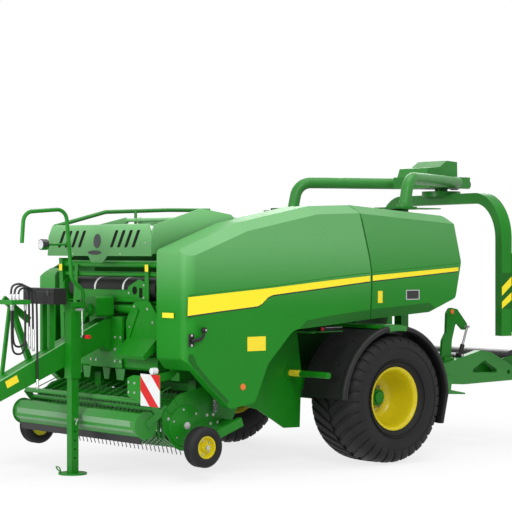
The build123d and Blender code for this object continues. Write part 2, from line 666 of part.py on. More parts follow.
def net_box():
    """Net roll lying in its cradle across the front, with the brake drum below it."""
    reach = PILLAR_Y - PILLAR_W / 2 - 20
    x, z = NET_X, NET_Z
    tray = prism("y", -reach, reach, [(x - 120, z - 130), (x + 60, z - 130), (x + 60, z - 118),
                                      (x - 108, z - 118), (x - 108, z), (x - 120, z)])
    drum = rod((x + 60, -reach + 20, z - 190), (x + 60, reach - 20, z - 190), 90)
    box = joined(tray, drum)
    for side in (-1, 1):
        y0, y1 = sorted((side * reach, side * (reach + 20 - SEAT)))
        end = prism("y", y0, y1, [(x - 125, z - 250), (x + 110, z - 250, 20), (x + 110, z + 60, 40),
                                  (x + 30, z + 95, 30), (x - 125, z + 95)])
        end += rod((x, side * (reach - NET_END), z), (x, side * (reach + 1), z), 60)
        end += rod((x + 60, side * (reach - 21), z - 190), (x + 60, side * (reach + 1), z - 190), 40)
        box = box + end
    return box


def net_roll():
    """Roll of net between the cradle's end spindles."""
    reach = PILLAR_Y - PILLAR_W / 2 - 20 - NET_END - SEAT
    return rod((NET_X, -reach, NET_Z), (NET_X, reach, NET_Z), 200)


def drive_guard():
    """Round guard plate with its sloped box at the left of the drawbar root."""
    x = PILLAR_X + 62
    plate = prism("x", x, x + 12, [(300, 1130), (770, 1130), (790, 1420, 60), (640, 1580, 90), (400, 1560, 120),
                                  (290, 1380, 80)])
    box = prism("y", 320, 768, [(x + 12, 1240), (x + 12, 1130), (x + 150, 1050), (x + 170, 1085)])
    strut = bar((x + 18, 290, 1140), (x + 18, 480, 1500), 40, 14, up=(1, 0, 0))
    foot = block(PILLAR_X + 35 + SEAT, x + 1, 320, 760, 1225, 1265)
    return joined(plate, box, strut, foot)


# Fenders

def fender(side):
    """Black fender in a front and a rear half: a sheet over the tyre with a thick rolled outer edge."""
    inner = TYRE_D / 2 + FENDER_GAP
    halves = []
    # angles of each half's folds from the front, and the drop of its rear flap
    for angles, flap in (((2, 22, 42, 62, FENDER_SPLIT), 0), ((180 - FENDER_SPLIT, 118, 138, 158, 178), FENDER_FLAP)):
        def band(low, high):
            arc = [(low * math.cos(math.radians(a)), AXLE_Z + low * math.sin(math.radians(a))) for a in angles]
            back = [(high * math.cos(math.radians(a)), AXLE_Z + high * math.sin(math.radians(a))) for a in angles]
            if flap:
                arc.append((arc[-1][0] + 70, arc[-1][1] - flap))
                back.append((arc[-1][0] - (high - low), arc[-1][1]))
            return arc + back[::-1]

        y_in, y_edge, y_out = TYRE_IN_Y + 20, TYRE_IN_Y + TYRE_W - FENDER_EDGE_W - 6, TYRE_IN_Y + TYRE_W - 6
        sheet = prism("y", *sorted((side * y_in, side * (y_edge + 1))), band(inner, inner + FENDER_SKIN))
        edge = prism("y", *sorted((side * y_edge, side * y_out)), band(inner - 8, inner + FENDER_EDGE_H))
        halves += (sheet + edge).solids()
    return Compound(children=halves)


def wrapper_beam(side):
    y0, y1 = sorted((side * (BEAM_Y + 10), side * (BEAM_Y + BEAM_W - 10)))
    x0 = FRAME_REAR_X - 140 - SEAT
    z0 = BEAM_Z + 5
    beam = prism("y", y0, y1, [(x0, z0), (x0, z0 + 135), (-1250, 850, 60), (-1430, 880, 60), (-1900, 985, 80),
                               (-2060, 960, 80), (-2420, 790, 80), (-2900, 760), (-2900, 660), (-2300, 650, 80),
                               (-1640, 640, 80), (-1350, 660, 80)])
    window = prism("y", y0 - 1, y1 + 1, [(-1720, 760, 20), (-1960, 880, 20), (-2210, 740, 20)])
    bore = rod((TABLE_HINGE_X, y0 - 1, TABLE_HINGE_Z), (TABLE_HINGE_X, y1 + 1, TABLE_HINGE_Z),
               TABLE_PIN_D + 2 * SPIN_PLAY)
    return beam - window - bore


def wrapper_chassis():
    """Two side beams behind the axle, their cross tubes and the rear bumper."""
    frame = wrapper_beam(-1) + wrapper_beam(1)
    for x, z in ((-1300, 745), (-2860, 710)):
        frame += rod((x, -BEAM_Y - 11, z), (x, BEAM_Y + 11, z), 90)
    bumper = block(REAR_X, -2899, -1150, 1150, 660, 760)
    for side in (-1, 1):
        y0, y1 = sorted((side * (BEAM_Y + BEAM_W - 11), side * (BEAM_Y + BEAM_W + 60)))
        foot = prism("y", y0, y1, [(-1300, 745), (-1330, 560), (-1590, 545), (-1590, 560), (-1380, 600), (-1400, 745)])
        frame += foot
    return frame + bumper


def guide_arms():
    """Upright guides that steer the bale from the tailgate on to the table."""
    arms = []
    for side in (-1, 1):
        y0, y1 = sorted((side * GUIDE_IN_Y, side * GUIDE_OUT_Y))
        arm = prism("y", y0, y1, GUIDE_OUTLINE)
        foot = block(-1540, -1400, side * (GUIDE_OUT_Y - 5), side * (BEAM_Y + 50), 860, 925) - wrapper_beam(side)
        arms.append(arm + foot)
    return Compound(children=[s for a in arms for s in a.solids()])


def overhead_frame():
    """Two bent tubes from the posts to the rotor's head, with the head's box between them."""
    frame = block(HEAD_REAR_X, HEAD_FRONT_X, -HEAD_HALF, HEAD_HALF, 2700, HEAD_TOP_Z)
    for side in (-1, 1):
        path = [(POST_X, side * TUBE_FOOT_Y, TUBE_FOOT_Z + 20), (POST_X - 60, side * (TUBE_FOOT_Y - 10), TUBE_Z),
                (TUBE_HEAD_X, side * TUBE_HEAD_Y, TUBE_Z)]
        frame += pipe(path, TUBE_D, 180)
        frame += ring((POST_X, side * TUBE_FOOT_Y, TUBE_FOOT_Z + 15), (0, 0, 1), 15, 160)
    return frame - ring((ROTOR_X, 0, 2750), (0, 0, 1), 100, 140 + 2 * SPIN_PLAY)


def head_cover():
    """Two-step sheet cover over the rotor's drive."""
    z = HEAD_TOP_Z + SEAT
    return prism("y", -COVER_HALF, COVER_HALF, [(-2150, z), (-2145, z + 165), (-1985, z + 175), (-1875, z + 105),
                                                (-1700, z + 90), (-1665, z)])


def head_motor():
    """Hydraulic motor behind the head."""
    z = 2755
    x = HEAD_REAR_X - SEAT
    motor = rod((x, 0, z), (x - 70, 0, z), 130) + rod((x - 69, 0, z), (x - 250, 0, z), 96)
    return motor + block(x - 200, x - 120, -40, 40, z + 30, z + 66)


def rotor_arms():
    """Gooseneck beam carried on the head, a leg each side of the bale."""
    path = FilletPolyline((0, -ROTOR_R, ROTOR_LOW_Z), (0, -ROTOR_R, ROTOR_BEAM_Z), (0, ROTOR_R, ROTOR_BEAM_Z),
                          (0, ROTOR_R, ROTOR_LOW_Z), radius=ROTOR_BEND_R)
    plane = Plane(origin=path @ 0, x_dir=(1, 0, 0), z_dir=path % 0)
    beam = sweep(plane * Rectangle(ROTOR_ARM + 20, ROTOR_ARM), path=path)
    hub = ring((0, 0, ROTOR_BEAM_Z + 60), (0, 0, 1), 30, 420)
    shaft = rod((0, 0, ROTOR_BEAM_Z + 80), (0, 0, 2800), 140)
    beam = joined(beam, hub, shaft)
    return Pos(ROTOR_X, 0, 0) * Rot(0, 0, -ROTOR_TURN) * beam


def film_stretchers():
    """A stretcher on each leg: two carrier plates, a channel on the leg and two rollers."""
    sets = []
    low, high = ROTOR_LOW_Z + 40, ROTOR_LOW_Z + 40 + FILM_ROLL_L + 60
    back = -(ROTOR_ARM + 20) / 2 - SEAT
    for turn in (0, 180):
        one = block(back - 30, back, ROTOR_R - 60, ROTOR_R + 60, low, high)
        for z in (low, high - 14):
            one += prism("z", z, z + 14, [(back - 29, ROTOR_R - 60), (back - 29, ROTOR_R + 60),
                                          (back - 150, ROTOR_R + 60, 30), (-FILM_TANGENT - 90, ROTOR_R, 60),
                                          (-FILM_TANGENT - 60, ROTOR_R - 170, 60), (back - 100, ROTOR_R - 190, 40)])
        for x, y in ((back - 78, ROTOR_R - 120), (back - 78, ROTOR_R + 15)):
            one += rod((x, y, low + 13), (x, y, high - 13), 80)
        one += rod((-FILM_TANGENT - 10, ROTOR_R - 75, low + 13), (-FILM_TANGENT - 10, ROTOR_R - 75, high - 13), 60)
        sets.append(Rot(0, 0, turn) * one)
    placed = [Pos(ROTOR_X, 0, 0) * Rot(0, 0, -ROTOR_TURN) * s for one in sets for s in one.solids()]
    return Compound(children=placed)


def table_frame():
    """Tipping table: two side plates, end discs and a cross tube."""
    frame = None
    for side in (-1, 1):
        y0, y1 = sorted((side * (TABLE_HALF + 8), side * (TABLE_HALF + 22)))
        plate = prism("y", y0, y1, [(ROTOR_X + 500, TABLE_Z + 60, 40), (ROTOR_X + 500, TABLE_Z - 60, 40),
                                    (ROTOR_X - 150, TABLE_Z - 170, 60), (ROTOR_X - 280, TABLE_Z - 170, 40),
                                    (ROTOR_X - 500, TABLE_Z - 60, 40), (ROTOR_X - 500, TABLE_Z + 60, 40),
                                    (ROTOR_X, TABLE_Z - 30, 200)])
        pin = rod((TABLE_HINGE_X, side * (TABLE_HALF + 9), TABLE_HINGE_Z),
                  (TABLE_HINGE_X, side * (BEAM_Y + 60), TABLE_HINGE_Z), TABLE_PIN_D)
        half = plate + pin
        frame = half if frame is None else frame + half
    return frame + rod((ROTOR_X + 250, -TABLE_HALF - 9, TABLE_Z - 90), (ROTOR_X + 250, TABLE_HALF + 9, TABLE_Z - 90), 80)


def table_rollers():
    half = TABLE_HALF + 8 - SEAT
    return Compound(children=[ring((ROTOR_X + s * TABLE_ROLLER_GAP / 2, 0, TABLE_Z), (0, 1, 0), half,
                                   TABLE_ROLLER_D) for s in (-1, 1)])

# Side panels

def front_outline(top_cut=None):
    """Front panel seen from the side: (x, z, corner radius), its top edge first."""
    if top_cut is None:
        top = [(345, 2462), (860, 2445), (1700, 2285), (2385, 2035, 50)]
        front = 2385
    else:
        top = [(280, top_cut), (1480, top_cut, 60), (2300, 1810, 60)]
        front = 2300
    return top + [(front, 1075, 50), (front - 82, 983, 60), (2137, 824), (1900, 618, 60), (1612, 660, 60),
                  (1460, 1000, 150), (1150, 1305, 200), (700, 1336), (185, 1380), (165, 1850, 900)]


def rear_outline(top_cut=None):
    """Rear panel seen from the side, its front edge along the front panel's rear edge."""
    g = PANEL_GAP
    if top_cut is None:
        top = [(-940, 2375, 60), (345 - g, 2462)]
    else:
        top = [(-985, top_cut, 60), (280 - g, top_cut)]
    return top + [(165 - g, 1850, 900), (185 - g, 1380), (-610, 1427, 80), (-985, 1560, 60), (-1065, 1915, 80)]


def bevelled(shape, line, y_out, inset):
    """Cuts the slanted band along each stretch of a panel's top edge."""
    slope = Vector(0, -PANEL_BEVEL_Y, PANEL_BEVEL_Z)
    for (x0, z0), (x1, z1) in zip(line, line[1:]):
        along = Vector(x1 - x0, 0, z1 - z0).normalized()
        up = along.cross(slope).normalized()
        if up.Z < 0:
            up = up * -1
        corner = Vector(x0, y_out, z0 - PANEL_BEVEL_Z) - up * inset
        shape = shape - Plane(origin=corner, x_dir=along, z_dir=up) * Pos(0, 0, 300) * Box(9000, 1400, 600)
    return shape


def panel(name, outline, y_in, y_out, front_corner=0.0):
    """A moulded panel: outer sheet with its bevelled top, returns all round and an open back."""
    high = max(p[0] for p in outline)
    line = sorted((p[0], p[1]) for p in outline if p[1] > 2000 or (p[0], p[1]) == (2300, 1810))

    def body(inset):
        start = y_in - 2 * inset
        corners = [(p[0], start, p[1]) for p in outline]
        radii = [p[2] if len(p) > 2 else 0 for p in outline]
        face = make_face(FilletPolyline(*corners, radius=radii, close=True))
        if inset:
            face = offset(face, amount=-inset)
        shape = extrude(face, amount=y_out - inset - start, dir=(0, 1, 0))
        if front_corner:
            shape = shape & prism("z", 400, 2700, [(0, start - 9), (high - inset, start - 9),
                                                   (high - inset, y_out - inset, front_corner - inset),
                                                   (0, y_out - inset)])
        return bevelled(shape, line, y_out, inset)

    shell = body(0) - body(PANEL_SKIN)
    shell = shell - block(-2000, high - PANEL_FLANGE if front_corner else 3000, 0, y_out - PANEL_FLANGE, 300,
                         2030 if front_corner else 2150)
    return shell + knuckles(name, line, y_in)


def knuckles(name, line, y_in):
    """Two hinge knuckles on webs from a panel's top edge, bored for the rod."""
    _, _, y, z, _ = HINGE_RODS[1 if name.endswith("left") else -1]
    pair = None
    for x in KNUCKLES[name]:
        (xa, za), (xb, zb) = [(a, b) for a, b in zip(line, line[1:]) if a[0] <= x <= b[0]][0]
        sheet = za + (zb - za) * (x - xa) / (xb - xa) - PANEL_SKIN / 2
        web = block(x - KNUCKLE_W / 2, x + KNUCKLE_W / 2, y, y_in + 30, min(z - 10, sheet - 12), max(z + 10, sheet))
        eye = ring((x, y, z), (1, 0, 0), KNUCKLE_W / 2, KNUCKLE_D)
        one = web + eye - ring((x, y, z), (1, 0, 0), KNUCKLE_W, HINGE_ROD_D + 2 * SPIN_PLAY)
        pair = one if pair is None else pair + one
    return pair


def panel_ties(y_out):
    """Two bars that carry the rear panel on the front one, inside their edges across the gap."""
    y = y_out - PANEL_FLANGE
    ties = None
    for low, high in ((1480, 1550), (1640, 1700)):
        tie = block(172, 240, y - 30, y + 2, low, high) + block(100, 173, y - 30, y - SEAT, low, high)
        ties = tie if ties is None else ties + tie
    return ties


def hinge_rod(side):
    """The rod a side's panels hang on, with its arms and their roots on the chamber wall."""
    x0, x1, y, z, arms = HINGE_RODS[side]
    rail = rod((x0, side * y, z), (x1, side * y, z), HINGE_ROD_D)
    for x in arms:
        rail += block(x - 14, x + 14, side * (WALL_Y + WALL + SEAT), side * y, z - 10, z + 10)
        rail += block(x - 18, x + 18, side * (WALL_Y + WALL + SEAT), side * (WALL_Y + WALL + 12),
                      CHAMBER_Z + 680, z + 10)
    return rail


def hood():
    """Front cover plate with slanted slots, its left flank and its right arm to the hinge tube."""
    x, skin = HOOD_FRONT_X, HOOD_SKIN
    plate = prism("y", -HOOD_HALF, HOOD_HALF, [(x, HOOD_LOW_Z), (x - 15, HOOD_TOP_Z), (x - 45, HOOD_TOP_Z + 6),
                                               (x - 45, HOOD_TOP_Z - 10), (x - 15 - skin, HOOD_TOP_Z - 14),
                                               (x - skin, HOOD_LOW_Z)])
    front = prism("x", x - 60, x + 20, [(-HOOD_HALF, HOOD_LOW_Z - 1), (HOOD_HALF, HOOD_LOW_Z - 1),
                                       (HOOD_HALF, 2160), (HOOD_HALF - 70, HOOD_TOP_Z + 20),
                                       (-HOOD_HALF + 70, HOOD_TOP_Z + 20), (-HOOD_HALF, 2160)])
    plate = plate & front
    tab = prism("x", x - skin, x, [(-150, HOOD_LOW_Z + 1), (150, HOOD_LOW_Z + 1), (90, HOOD_LOW_Z - 60, 15),
                                   (-90, HOOD_LOW_Z - 60, 15)])
    plate = plate + tab
    for side in (-1, 1):
        for i in range(SLOT_COUNT):
            y = side * 265 + side * i * 112
            plate -= prism("x", x - 70, x + 20, [(y - 24, 2085), (y + 4, 2085), (y + 24, 2215), (y - 4, 2215)])
    flank = prism("y", HOOD_HALF - skin, HOOD_HALF, [(x - skin, HOOD_LOW_Z + 20), (x - 20, HOOD_TOP_Z - 60),
                                                    (x - 40, HOOD_TOP_Z - 5), (HOOD_APEX_X, HOOD_APEX_Z),
                                                    (HOOD_HINGE_X, HOOD_HINGE_Z + 30, 20),
                                                    (HOOD_HINGE_X - 30, HOOD_HINGE_Z - 40, 20),
                                                    (HOOD_APEX_X + 200, 2140), (x - 120, HOOD_LOW_Z + 20)])
    arm = prism("y", -HOOD_HALF, -HOOD_HALF + skin, [(x - skin, HOOD_LOW_Z + 20), (x - 22, HOOD_TOP_Z - 110),
                                                    (HOOD_HINGE_X, HOOD_HINGE_Z + 30, 20),
                                                    (HOOD_HINGE_X - 30, HOOD_HINGE_Z - 30, 20),
                                                    (x - 200, HOOD_LOW_Z + 130), (x - 120, HOOD_LOW_Z + 20)])
    whole = joined(plate, flank, arm)
    return whole - rod((HOOD_HINGE_X, -900, HOOD_HINGE_Z), (HOOD_HINGE_X, 900, HOOD_HINGE_Z),
                       HOOD_HINGE_D + 2 * SPIN_PLAY)


def hood_hinge():
    """Tube across the machine that the hood turns on, with its two stands on the chamber walls."""
    x, z = HOOD_HINGE_X, HOOD_HINGE_Z
    tube = rod((x, -HOOD_HALF - 6, z), (x, HOOD_HALF + 6, z), HOOD_HINGE_D)
    for side in (-1, 1):
        y0, y1 = sorted((side * WALL_Y, side * (WALL_Y + WALL)))
        tube += prism("y", y0, y1, [(1130, CHAMBER_Z + 745 + SEAT), (1130, 2290), (x - 10, z + 26), (x + 30, z + 10),
                                    (x + 10, z - 40), (1220, 2268)]) & block(0, 3000, -2000, 2000, 2255 + SEAT, 3000)
    return tube


def right_roof_rail():
    """Slim rail along the open right side of the roof, on two stands."""
    y = -860
    rail = pipe([(2330, y, 2262), (1730, y, 2410), (960, y, 2440), (420, y, 2446)], 40, 160)
    for x, top in ((1380, 2422), (560, 2440)):
        rail += rod((x, y + 25, 2032), (x, y + 25, top), 30)
        rail += rod((x, y + 25, 2050), (x, -WALL_Y - WALL - SEAT, 2050), 36)
    return rail


# Pickup

def pickup_frame():
    """Side shields, cross beam, pivot pins, stripper bands and the arms of the gauge wheels."""
    frame = None
    for side in (-1, 1):
        y0, y1 = sorted((side * PICKUP_SIDE_Y, side * (PICKUP_SIDE_Y + PICKUP_SIDE)))
        shield = prism("y", y0, y1, [(LIFT_X - 55, LIFT_Z - 30, 40), (LIFT_X - 55, LIFT_Z + 50, 40),
                                     (LIFT_X + 60, LIFT_Z + 55, 40), (SHIELD_X - 200, SHIELD_Z + 270, 120),
                                     (SHIELD_X + 60, SHIELD_Z + 220, 160), (SHIELD_X + 230, SHIELD_Z + 60, 100),
                                     (SHIELD_X + 215, SHIELD_Z - 90, 120), (SHIELD_X + 60, SHIELD_Z - 290, 160),
                                     (SHIELD_X - 230, SHIELD_Z - 270, 150), (1700, 400, 40)])
        pin = rod((LIFT_X, side * (SIDE_PLATE_Y - 22), LIFT_Z), (LIFT_X, side * (PICKUP_SIDE_Y + 4), LIFT_Z), 60)
        collar = rod((LIFT_X, side * (SIDE_PLATE_Y + 7), LIFT_Z), (LIFT_X, side * (PICKUP_SIDE_Y + 1), LIFT_Z), 90)
        outer = side * (GAUGE_Y - GAUGE_W / 2 - 40)
        cross = rod((1760, side * (PICKUP_SIDE_Y + 1), 470), (1760, outer, 470), 70)
        arm = bar((1700, outer, 490), (GAUGE_X + 10, outer, GAUGE_Z - 4), 50, 80)
        axle = rod((GAUGE_X, outer, GAUGE_Z), (GAUGE_X, side * (GAUGE_Y + 18), GAUGE_Z), 40)
        half = joined(shield, pin, collar, cross, arm, axle)
        half -= rod((REEL_X, side * (PICKUP_SIDE_Y - 5), REEL_Z), (REEL_X, side * (PICKUP_SIDE_Y + 20), REEL_Z),
                    60 + 2 * SPIN_PLAY)
        frame = half if frame is None else frame + half
    beam_x = REEL_X - REEL_TIP_R - 45
    frame += block(beam_x - 30, beam_x + 30, -PICKUP_SIDE_Y - 1, PICKUP_SIDE_Y + 1, REEL_Z - 60, REEL_Z + 60)
    return frame + stripper_bands(beam_x)


def stripper_bands(beam_x):
    """Narrow bent bands between the rows of tines, held on the cross beam."""
    r = BAND_R
    outer = [(beam_x, REEL_Z + r + 25), (REEL_X - 40, REEL_Z + r + 15), (REEL_X + r * 0.6, REEL_Z + r * 0.85),
             (REEL_X + r, REEL_Z + r * 0.2), (REEL_X + r * 0.85, REEL_Z - r * 0.55),
             (REEL_X + r * 0.2, REEL_Z - r), (beam_x, REEL_Z - r - 20)]
    t = 4
    inner = [(beam_x, REEL_Z - r - 20 + t), (REEL_X + r * 0.2 - 2, REEL_Z - r + t),
             (REEL_X + r * 0.85 - t, REEL_Z - r * 0.55 + 2), (REEL_X + r - t, REEL_Z + r * 0.2 - 1),
             (REEL_X + r * 0.6 - 3, REEL_Z + r * 0.85 - t), (REEL_X - 40 - 1, REEL_Z + r + 15 - t),
             (beam_x, REEL_Z + r + 25 - t)]
    count = int(2 * REEL_HALF / TINE_PITCH)
    first = -(count - 1) / 2 * TINE_PITCH
    band = prism("y", -BAND_W / 2, BAND_W / 2, outer + inner)
    web = block(beam_x - 4, beam_x, -BAND_W / 2, BAND_W / 2, REEL_Z - r - 20, REEL_Z + r + 25)
    band = band + web
    bands = Pos(0, first, 0) * band
    for i in range(1, count):
        bands += Pos(0, first + i * TINE_PITCH, 0) * band
    return bands


def pickup_reel():
    """Tube with tine bars round it, rows of spring tines and discs at its ends."""
    reel = rod((REEL_X, -PICKUP_SIDE_Y - 12, REEL_Z), (REEL_X, PICKUP_SIDE_Y + 12, REEL_Z), 60)
    for y in (-PICKUP_SIDE_Y + 20, 0, PICKUP_SIDE_Y - 20):
        reel += ring((REEL_X, y, REEL_Z), (0, 1, 0), 5, 2 * REEL_BAR_R + 30)
    count = int(2 * REEL_HALF / TINE_PITCH) - 1
    for b in range(TINE_BARS):
        turn = 360 / TINE_BARS * b - 18
        row = rod((0, -PICKUP_SIDE_Y + 16, REEL_BAR_R), (0, PICKUP_SIDE_Y - 16, REEL_BAR_R), 24)
        for i in range(count):
            y = (i - (count - 1) / 2) * TINE_PITCH
            row += block(-TINE / 2, TINE / 2, y - TINE / 2, y + TINE / 2, REEL_BAR_R + 4, REEL_TIP_R)
        reel += Pos(REEL_X, 0, REEL_Z) * Rot(0, turn, 0) * row
    return reel


def crop_guard():
    """Folded eight-sided roller guard in front of the tines, on two arms, with the wind guard's pipes and comb."""
    r = GUARD_D / 2
    face = [(GUARD_X + r * math.cos(math.radians(22.5 + 45 * i)), GUARD_Z + r * math.sin(math.radians(22.5 + 45 * i)))
            for i in range(8)]
    guard = prism("y", -GUARD_HALF, GUARD_HALF, face)
    for side in (-1, 1):
        guard += ring((GUARD_X, side * (GUARD_HALF + 5), GUARD_Z), (0, 1, 0), 5, GUARD_D + 20)
        y = side * (GUARD_HALF + 18)
        guard += bar((GUARD_X - 5, y, GUARD_Z), (SHIELD_X + 170, y, SHIELD_Z + 110), 16, 60)
        y0, y1 = sorted((side * (GUARD_HALF + 9), side * (PICKUP_SIDE_Y - SEAT)))
        guard += block(SHIELD_X + 150, SHIELD_X + 200, y0, y1, SHIELD_Z + 85, SHIELD_Z + 125)
        guard += bar((2450, y, 560), (COMB_X + 5, y, COMB_Z + 5), 16, 60)
    # the wind guard's two pipes, and the comb that lies over the tines
    guard += rod((COMB_X, -GUARD_HALF - 19, COMB_Z), (COMB_X, GUARD_HALF + 19, COMB_Z), 42)
    guard += rod((2480, -GUARD_HALF - 19, 625), (2480, GUARD_HALF + 19, 625), 36)
    count = int(2 * GUARD_HALF / COMB_PITCH)
    for i in range(count):
        y = (i - (count - 1) / 2) * COMB_PITCH
        guard += bar((COMB_X - 5, y, COMB_Z + 8), (COMB_X - 300, y, COMB_Z + 120), 8, 8)
    return guard


def gauge_tyre(side):
    r, half = GAUGE_D / 2, GAUGE_W / 2
    seat = GAUGE_RIM_D / 2
    # (distance from the middle, radius) of one half of the section
    section = [(half - 20, seat), (half - 4, seat + 22), (half, r - 45), (half - 14, r - 14), (half - 40, r)]
    loop = section + [(-y, radius) for y, radius in reversed(section)]
    return faceted(loop, GAUGE_SIDES, (GAUGE_X, side * GAUGE_Y, GAUGE_Z))


def gauge_rim(side):
    half, seat = GAUGE_W / 2 - 20, GAUGE_RIM_D / 2 - SEAT
    shape = turned([(-half, 0), (-half, seat), (half, seat), (half, seat - 12), (half - 35, seat - 30),
                    (half - 40, 45), (half - 15, 32), (half - 15, 0)], (GAUGE_X, side * GAUGE_Y, GAUGE_Z), side)
    y = side * GAUGE_Y
    return shape - rod((GAUGE_X, y - side * 100, GAUGE_Z), (GAUGE_X, y + side * 19, GAUGE_Z), 40 + 2 * SPIN_PLAY)


# Front fittings

def hose_arch():
    """Bent tube that carries the hoses over the drawbar, with its work lamp."""
    y = JACK_Y
    arch = pipe([(2669, y, 1410), (2680, y, 1670), (2800, y, 1763), (2865, y, 2406), (3313, y, 2373),
                 (3334, y, 2097)], 36, 100)
    arch += bar((2672, y, 1415), (JACK_X - JACK_SLEEVE / 2 + SEAT * -1, y, 1415), 50, 60)
    arch += rod((2832, y, 2085), (3080, y, 2085), 22)
    lamp = rod((3075, y, 2080), (3135, y, 2080), 90)
    return arch + lamp


def toolbox():
    """Flat plastic box across the front, on a bracket from the drawbar."""
    box = block(2905, 3045, -300, 200, TOOLBOX_Z, TOOLBOX_Z + 145)
    return fillet(box.edges().filter_by(Axis.Y), 12)


def hose_holder():
    """Post at the drawbar's right side with a fork for the parked hoses, clear of the driveline."""
    y = HOLDER_Y
    foot = bar((3120, y, 1020), (3330, y, 1560), 50, 50, up=(0, 1, 0))
    brace = bar((3420, y, 880), (3330, y, 1540), 30, 30, up=(0, 1, 0))
    rack = block(3230, 3430, y - 60, 110, HOLDER_RACK_Z - 40, HOLDER_RACK_Z)
    tilt = bar((3130, y, 1400), (3400, y, 1600), 60, 30, up=(0, 1, 0))
    return joined(foot, brace, rack, tilt)


def hydraulic_hoses():
    """Hoses parked in the holder: some arch back over it, and two hang below it in loops."""
    top, low = HOLDER_RACK_Z + SEAT, HOLDER_RACK_Z - 40 - SEAT
    hoses = []
    # (Y, X at the rack, height of the arch, X and Z where it ends)
    for y, x, crest, end_x, end_z in ((50, 3400, 1722, 3205, 1150), (72, 3378, 1706, 3178, 1128),
                                      (94, 3352, 1690, 3146, 790)):
        hoses.append(pipe([(x, y, top), (x, y, crest), (end_x + 14, y, crest), (end_x, y, end_z)], HOSE_D, HOSE_BEND))
    # (Y, front and rear X, lowest Z)
    for y, front, rear, dip in ((62, 3386, 3256, 1170), (86, 3414, 3270, 1106)):
        hoses.append(pipe([(front, y, low), (front, y, dip), (rear, y, dip), (rear, y, low)], HOSE_D, (front - rear) / 2 - 1))
    return Compound(children=[solid for hose in hoses for solid in hose.solids()])


def hazard_board():
    """Striped square board at the left front corner, with its lamp and bracket."""
    x, y = BOARD_X, BOARD_Y
    board = block(x, x + 6, y, y + BOARD, BOARD_Z, BOARD_Z + BOARD)
    arm = prism("y", 905, 930, [(PILLAR_X - 25, 1060), (PILLAR_X + 20, 1060), (PILLAR_X + 26, 955), (2470, 925), (x, 925),
                                (x, 745), (x - 95, 745), (2440, 860), (2290, 880), (PILLAR_X - 25, 930)])
    plate = prism("x", x - 10, x, [(786, 905, 12), (870, 932, 12), (1010, 932), (1010, 705), (960, 705, 20),
                                   (786, 745, 12)])
    for hole_y, hole_z in ((803, 868), (892, 864), (803, 779), (892, 779)):
        plate -= rod((x - 20, hole_y, hole_z), (x + 10, hole_y, hole_z), 12)
    root = block(PILLAR_X - 20, PILLAR_X + 20, PILLAR_Y + PILLAR_W / 2 + SEAT, 906, 1015, 1055)
    lamp = rod((x - 15, y + 200, BOARD_Z + BOARD + 32), (x + 35, y + 200, BOARD_Z + BOARD + 32), 60)
    stalk = block(x - 8, x + 4, y + 185, y + 215, BOARD_Z + BOARD - 12, BOARD_Z + BOARD + 28)
    return joined(board, arm, plate, root, lamp, stalk)


def side_steps():
    """Round bars that stand out in front of the wheels."""
    steps = []
    for side in (-1, 1):
        y0, y1 = side * (SIDE_PLATE_Y + SEAT), side * 1380
        plate = rod((790, y0, 870), (790, y0 + side * 12, 870), 120)
        steps += (rod((790, y0 + side * 2, 870), (790, y1, 870), 60) + plate).solids()
    return Compound(children=steps)


def gate_cylinder_points():
    """Places (x, z) of a tailgate cylinder's base pin and of its rod's pin, and the run between them."""
    a, b = Vector(GATE_CYL_BASE_X, 0, GATE_CYL_BASE_Z), Vector(GATE_CYL_EYE_X, 0, GATE_CYL_EYE_Z)
    return a, b, (b - a).normalized()


def gate_barrels():
    """Barrels of the tailgate's cylinders, each with its base eye."""
    a, b, way = gate_cylinder_points()
    barrels = []
    for side in (-1, 1):
        shift = Vector(0, side * GATE_CYL_Y, 0)
        length = (b - a).length - GATE_ROD_SHOWN
        tube = rod(a + way * 30 + shift, a + way * length + shift, GATE_BARREL_D)
        tube -= rod(a + way * 80 + shift, a + way * (length + 10) + shift, GATE_ROD_D + 2 * SEAT)
        tube += ring(a + shift, (0, 1, 0), 24, 80)
        tube -= ring(a + shift, (0, 1, 0), 60, GATE_PIN_D + 2 * SPIN_PLAY)
        barrels += tube.solids()
    return Compound(children=barrels)


def gate_rods():
    """Chromed rods of the tailgate's cylinders, each with its eye."""
    a, b, way = gate_cylinder_points()
    rods = []
    for side in (-1, 1):
        shift = Vector(0, side * GATE_CYL_Y, 0)
        shaft = rod(a + way * 90 + shift, b - way * 20 + shift, GATE_ROD_D)
        shaft += ring(b + shift, (0, 1, 0), 24, GATE_EYE_D)
        shaft -= ring(b + shift, (0, 1, 0), 60, GATE_EYE_BORE)
        rods += shaft.solids()
    return Compound(children=rods)


os.makedirs("parts", exist_ok=True)
for side_name, side_sign in (("left", 1), ("right", -1)):
    save(f"tyre_{side_name}", tyre(side_sign))
    save(f"rim_{side_name}", rim(side_sign))
    save(f"chamber_wall_{side_name}", chamber_wall(side_sign))
    save(f"fender_{side_name}", fender(side_sign))
    save(f"gauge_tyre_{side_name}", gauge_tyre(side_sign))
    save(f"gauge_rim_{side_name}", gauge_rim(side_sign))
lift_bore = rod((LIFT_X, -1100, LIFT_Z), (LIFT_X, 1100, LIFT_Z), 60 + 2 * SPIN_PLAY)
save("chassis_frame", chassis_frame() - lift_bore)
save("axle_beam", axle_beam())
save("front_tower", front_tower())
save("drawbar", drawbar())
save("jack_sleeve", jack_sleeve())
save("jack_leg", jack_leg())
save("jack_crank", jack_crank())
save("gearbox", gearbox())
save("front_rollers", front_rollers())
save("tailgate", tailgate())
save("gate_rollers", gate_rollers())
save("feeder_housing", feeder_housing())
save("roof_cover", roof_cover() + hood_hinge())
save("hinge_rod_left", hinge_rod(1))
save("hinge_rod_right", hinge_rod(-1))
save("net_box", net_box())
save("net_roll", net_roll())
save("drive_guard", drive_guard())
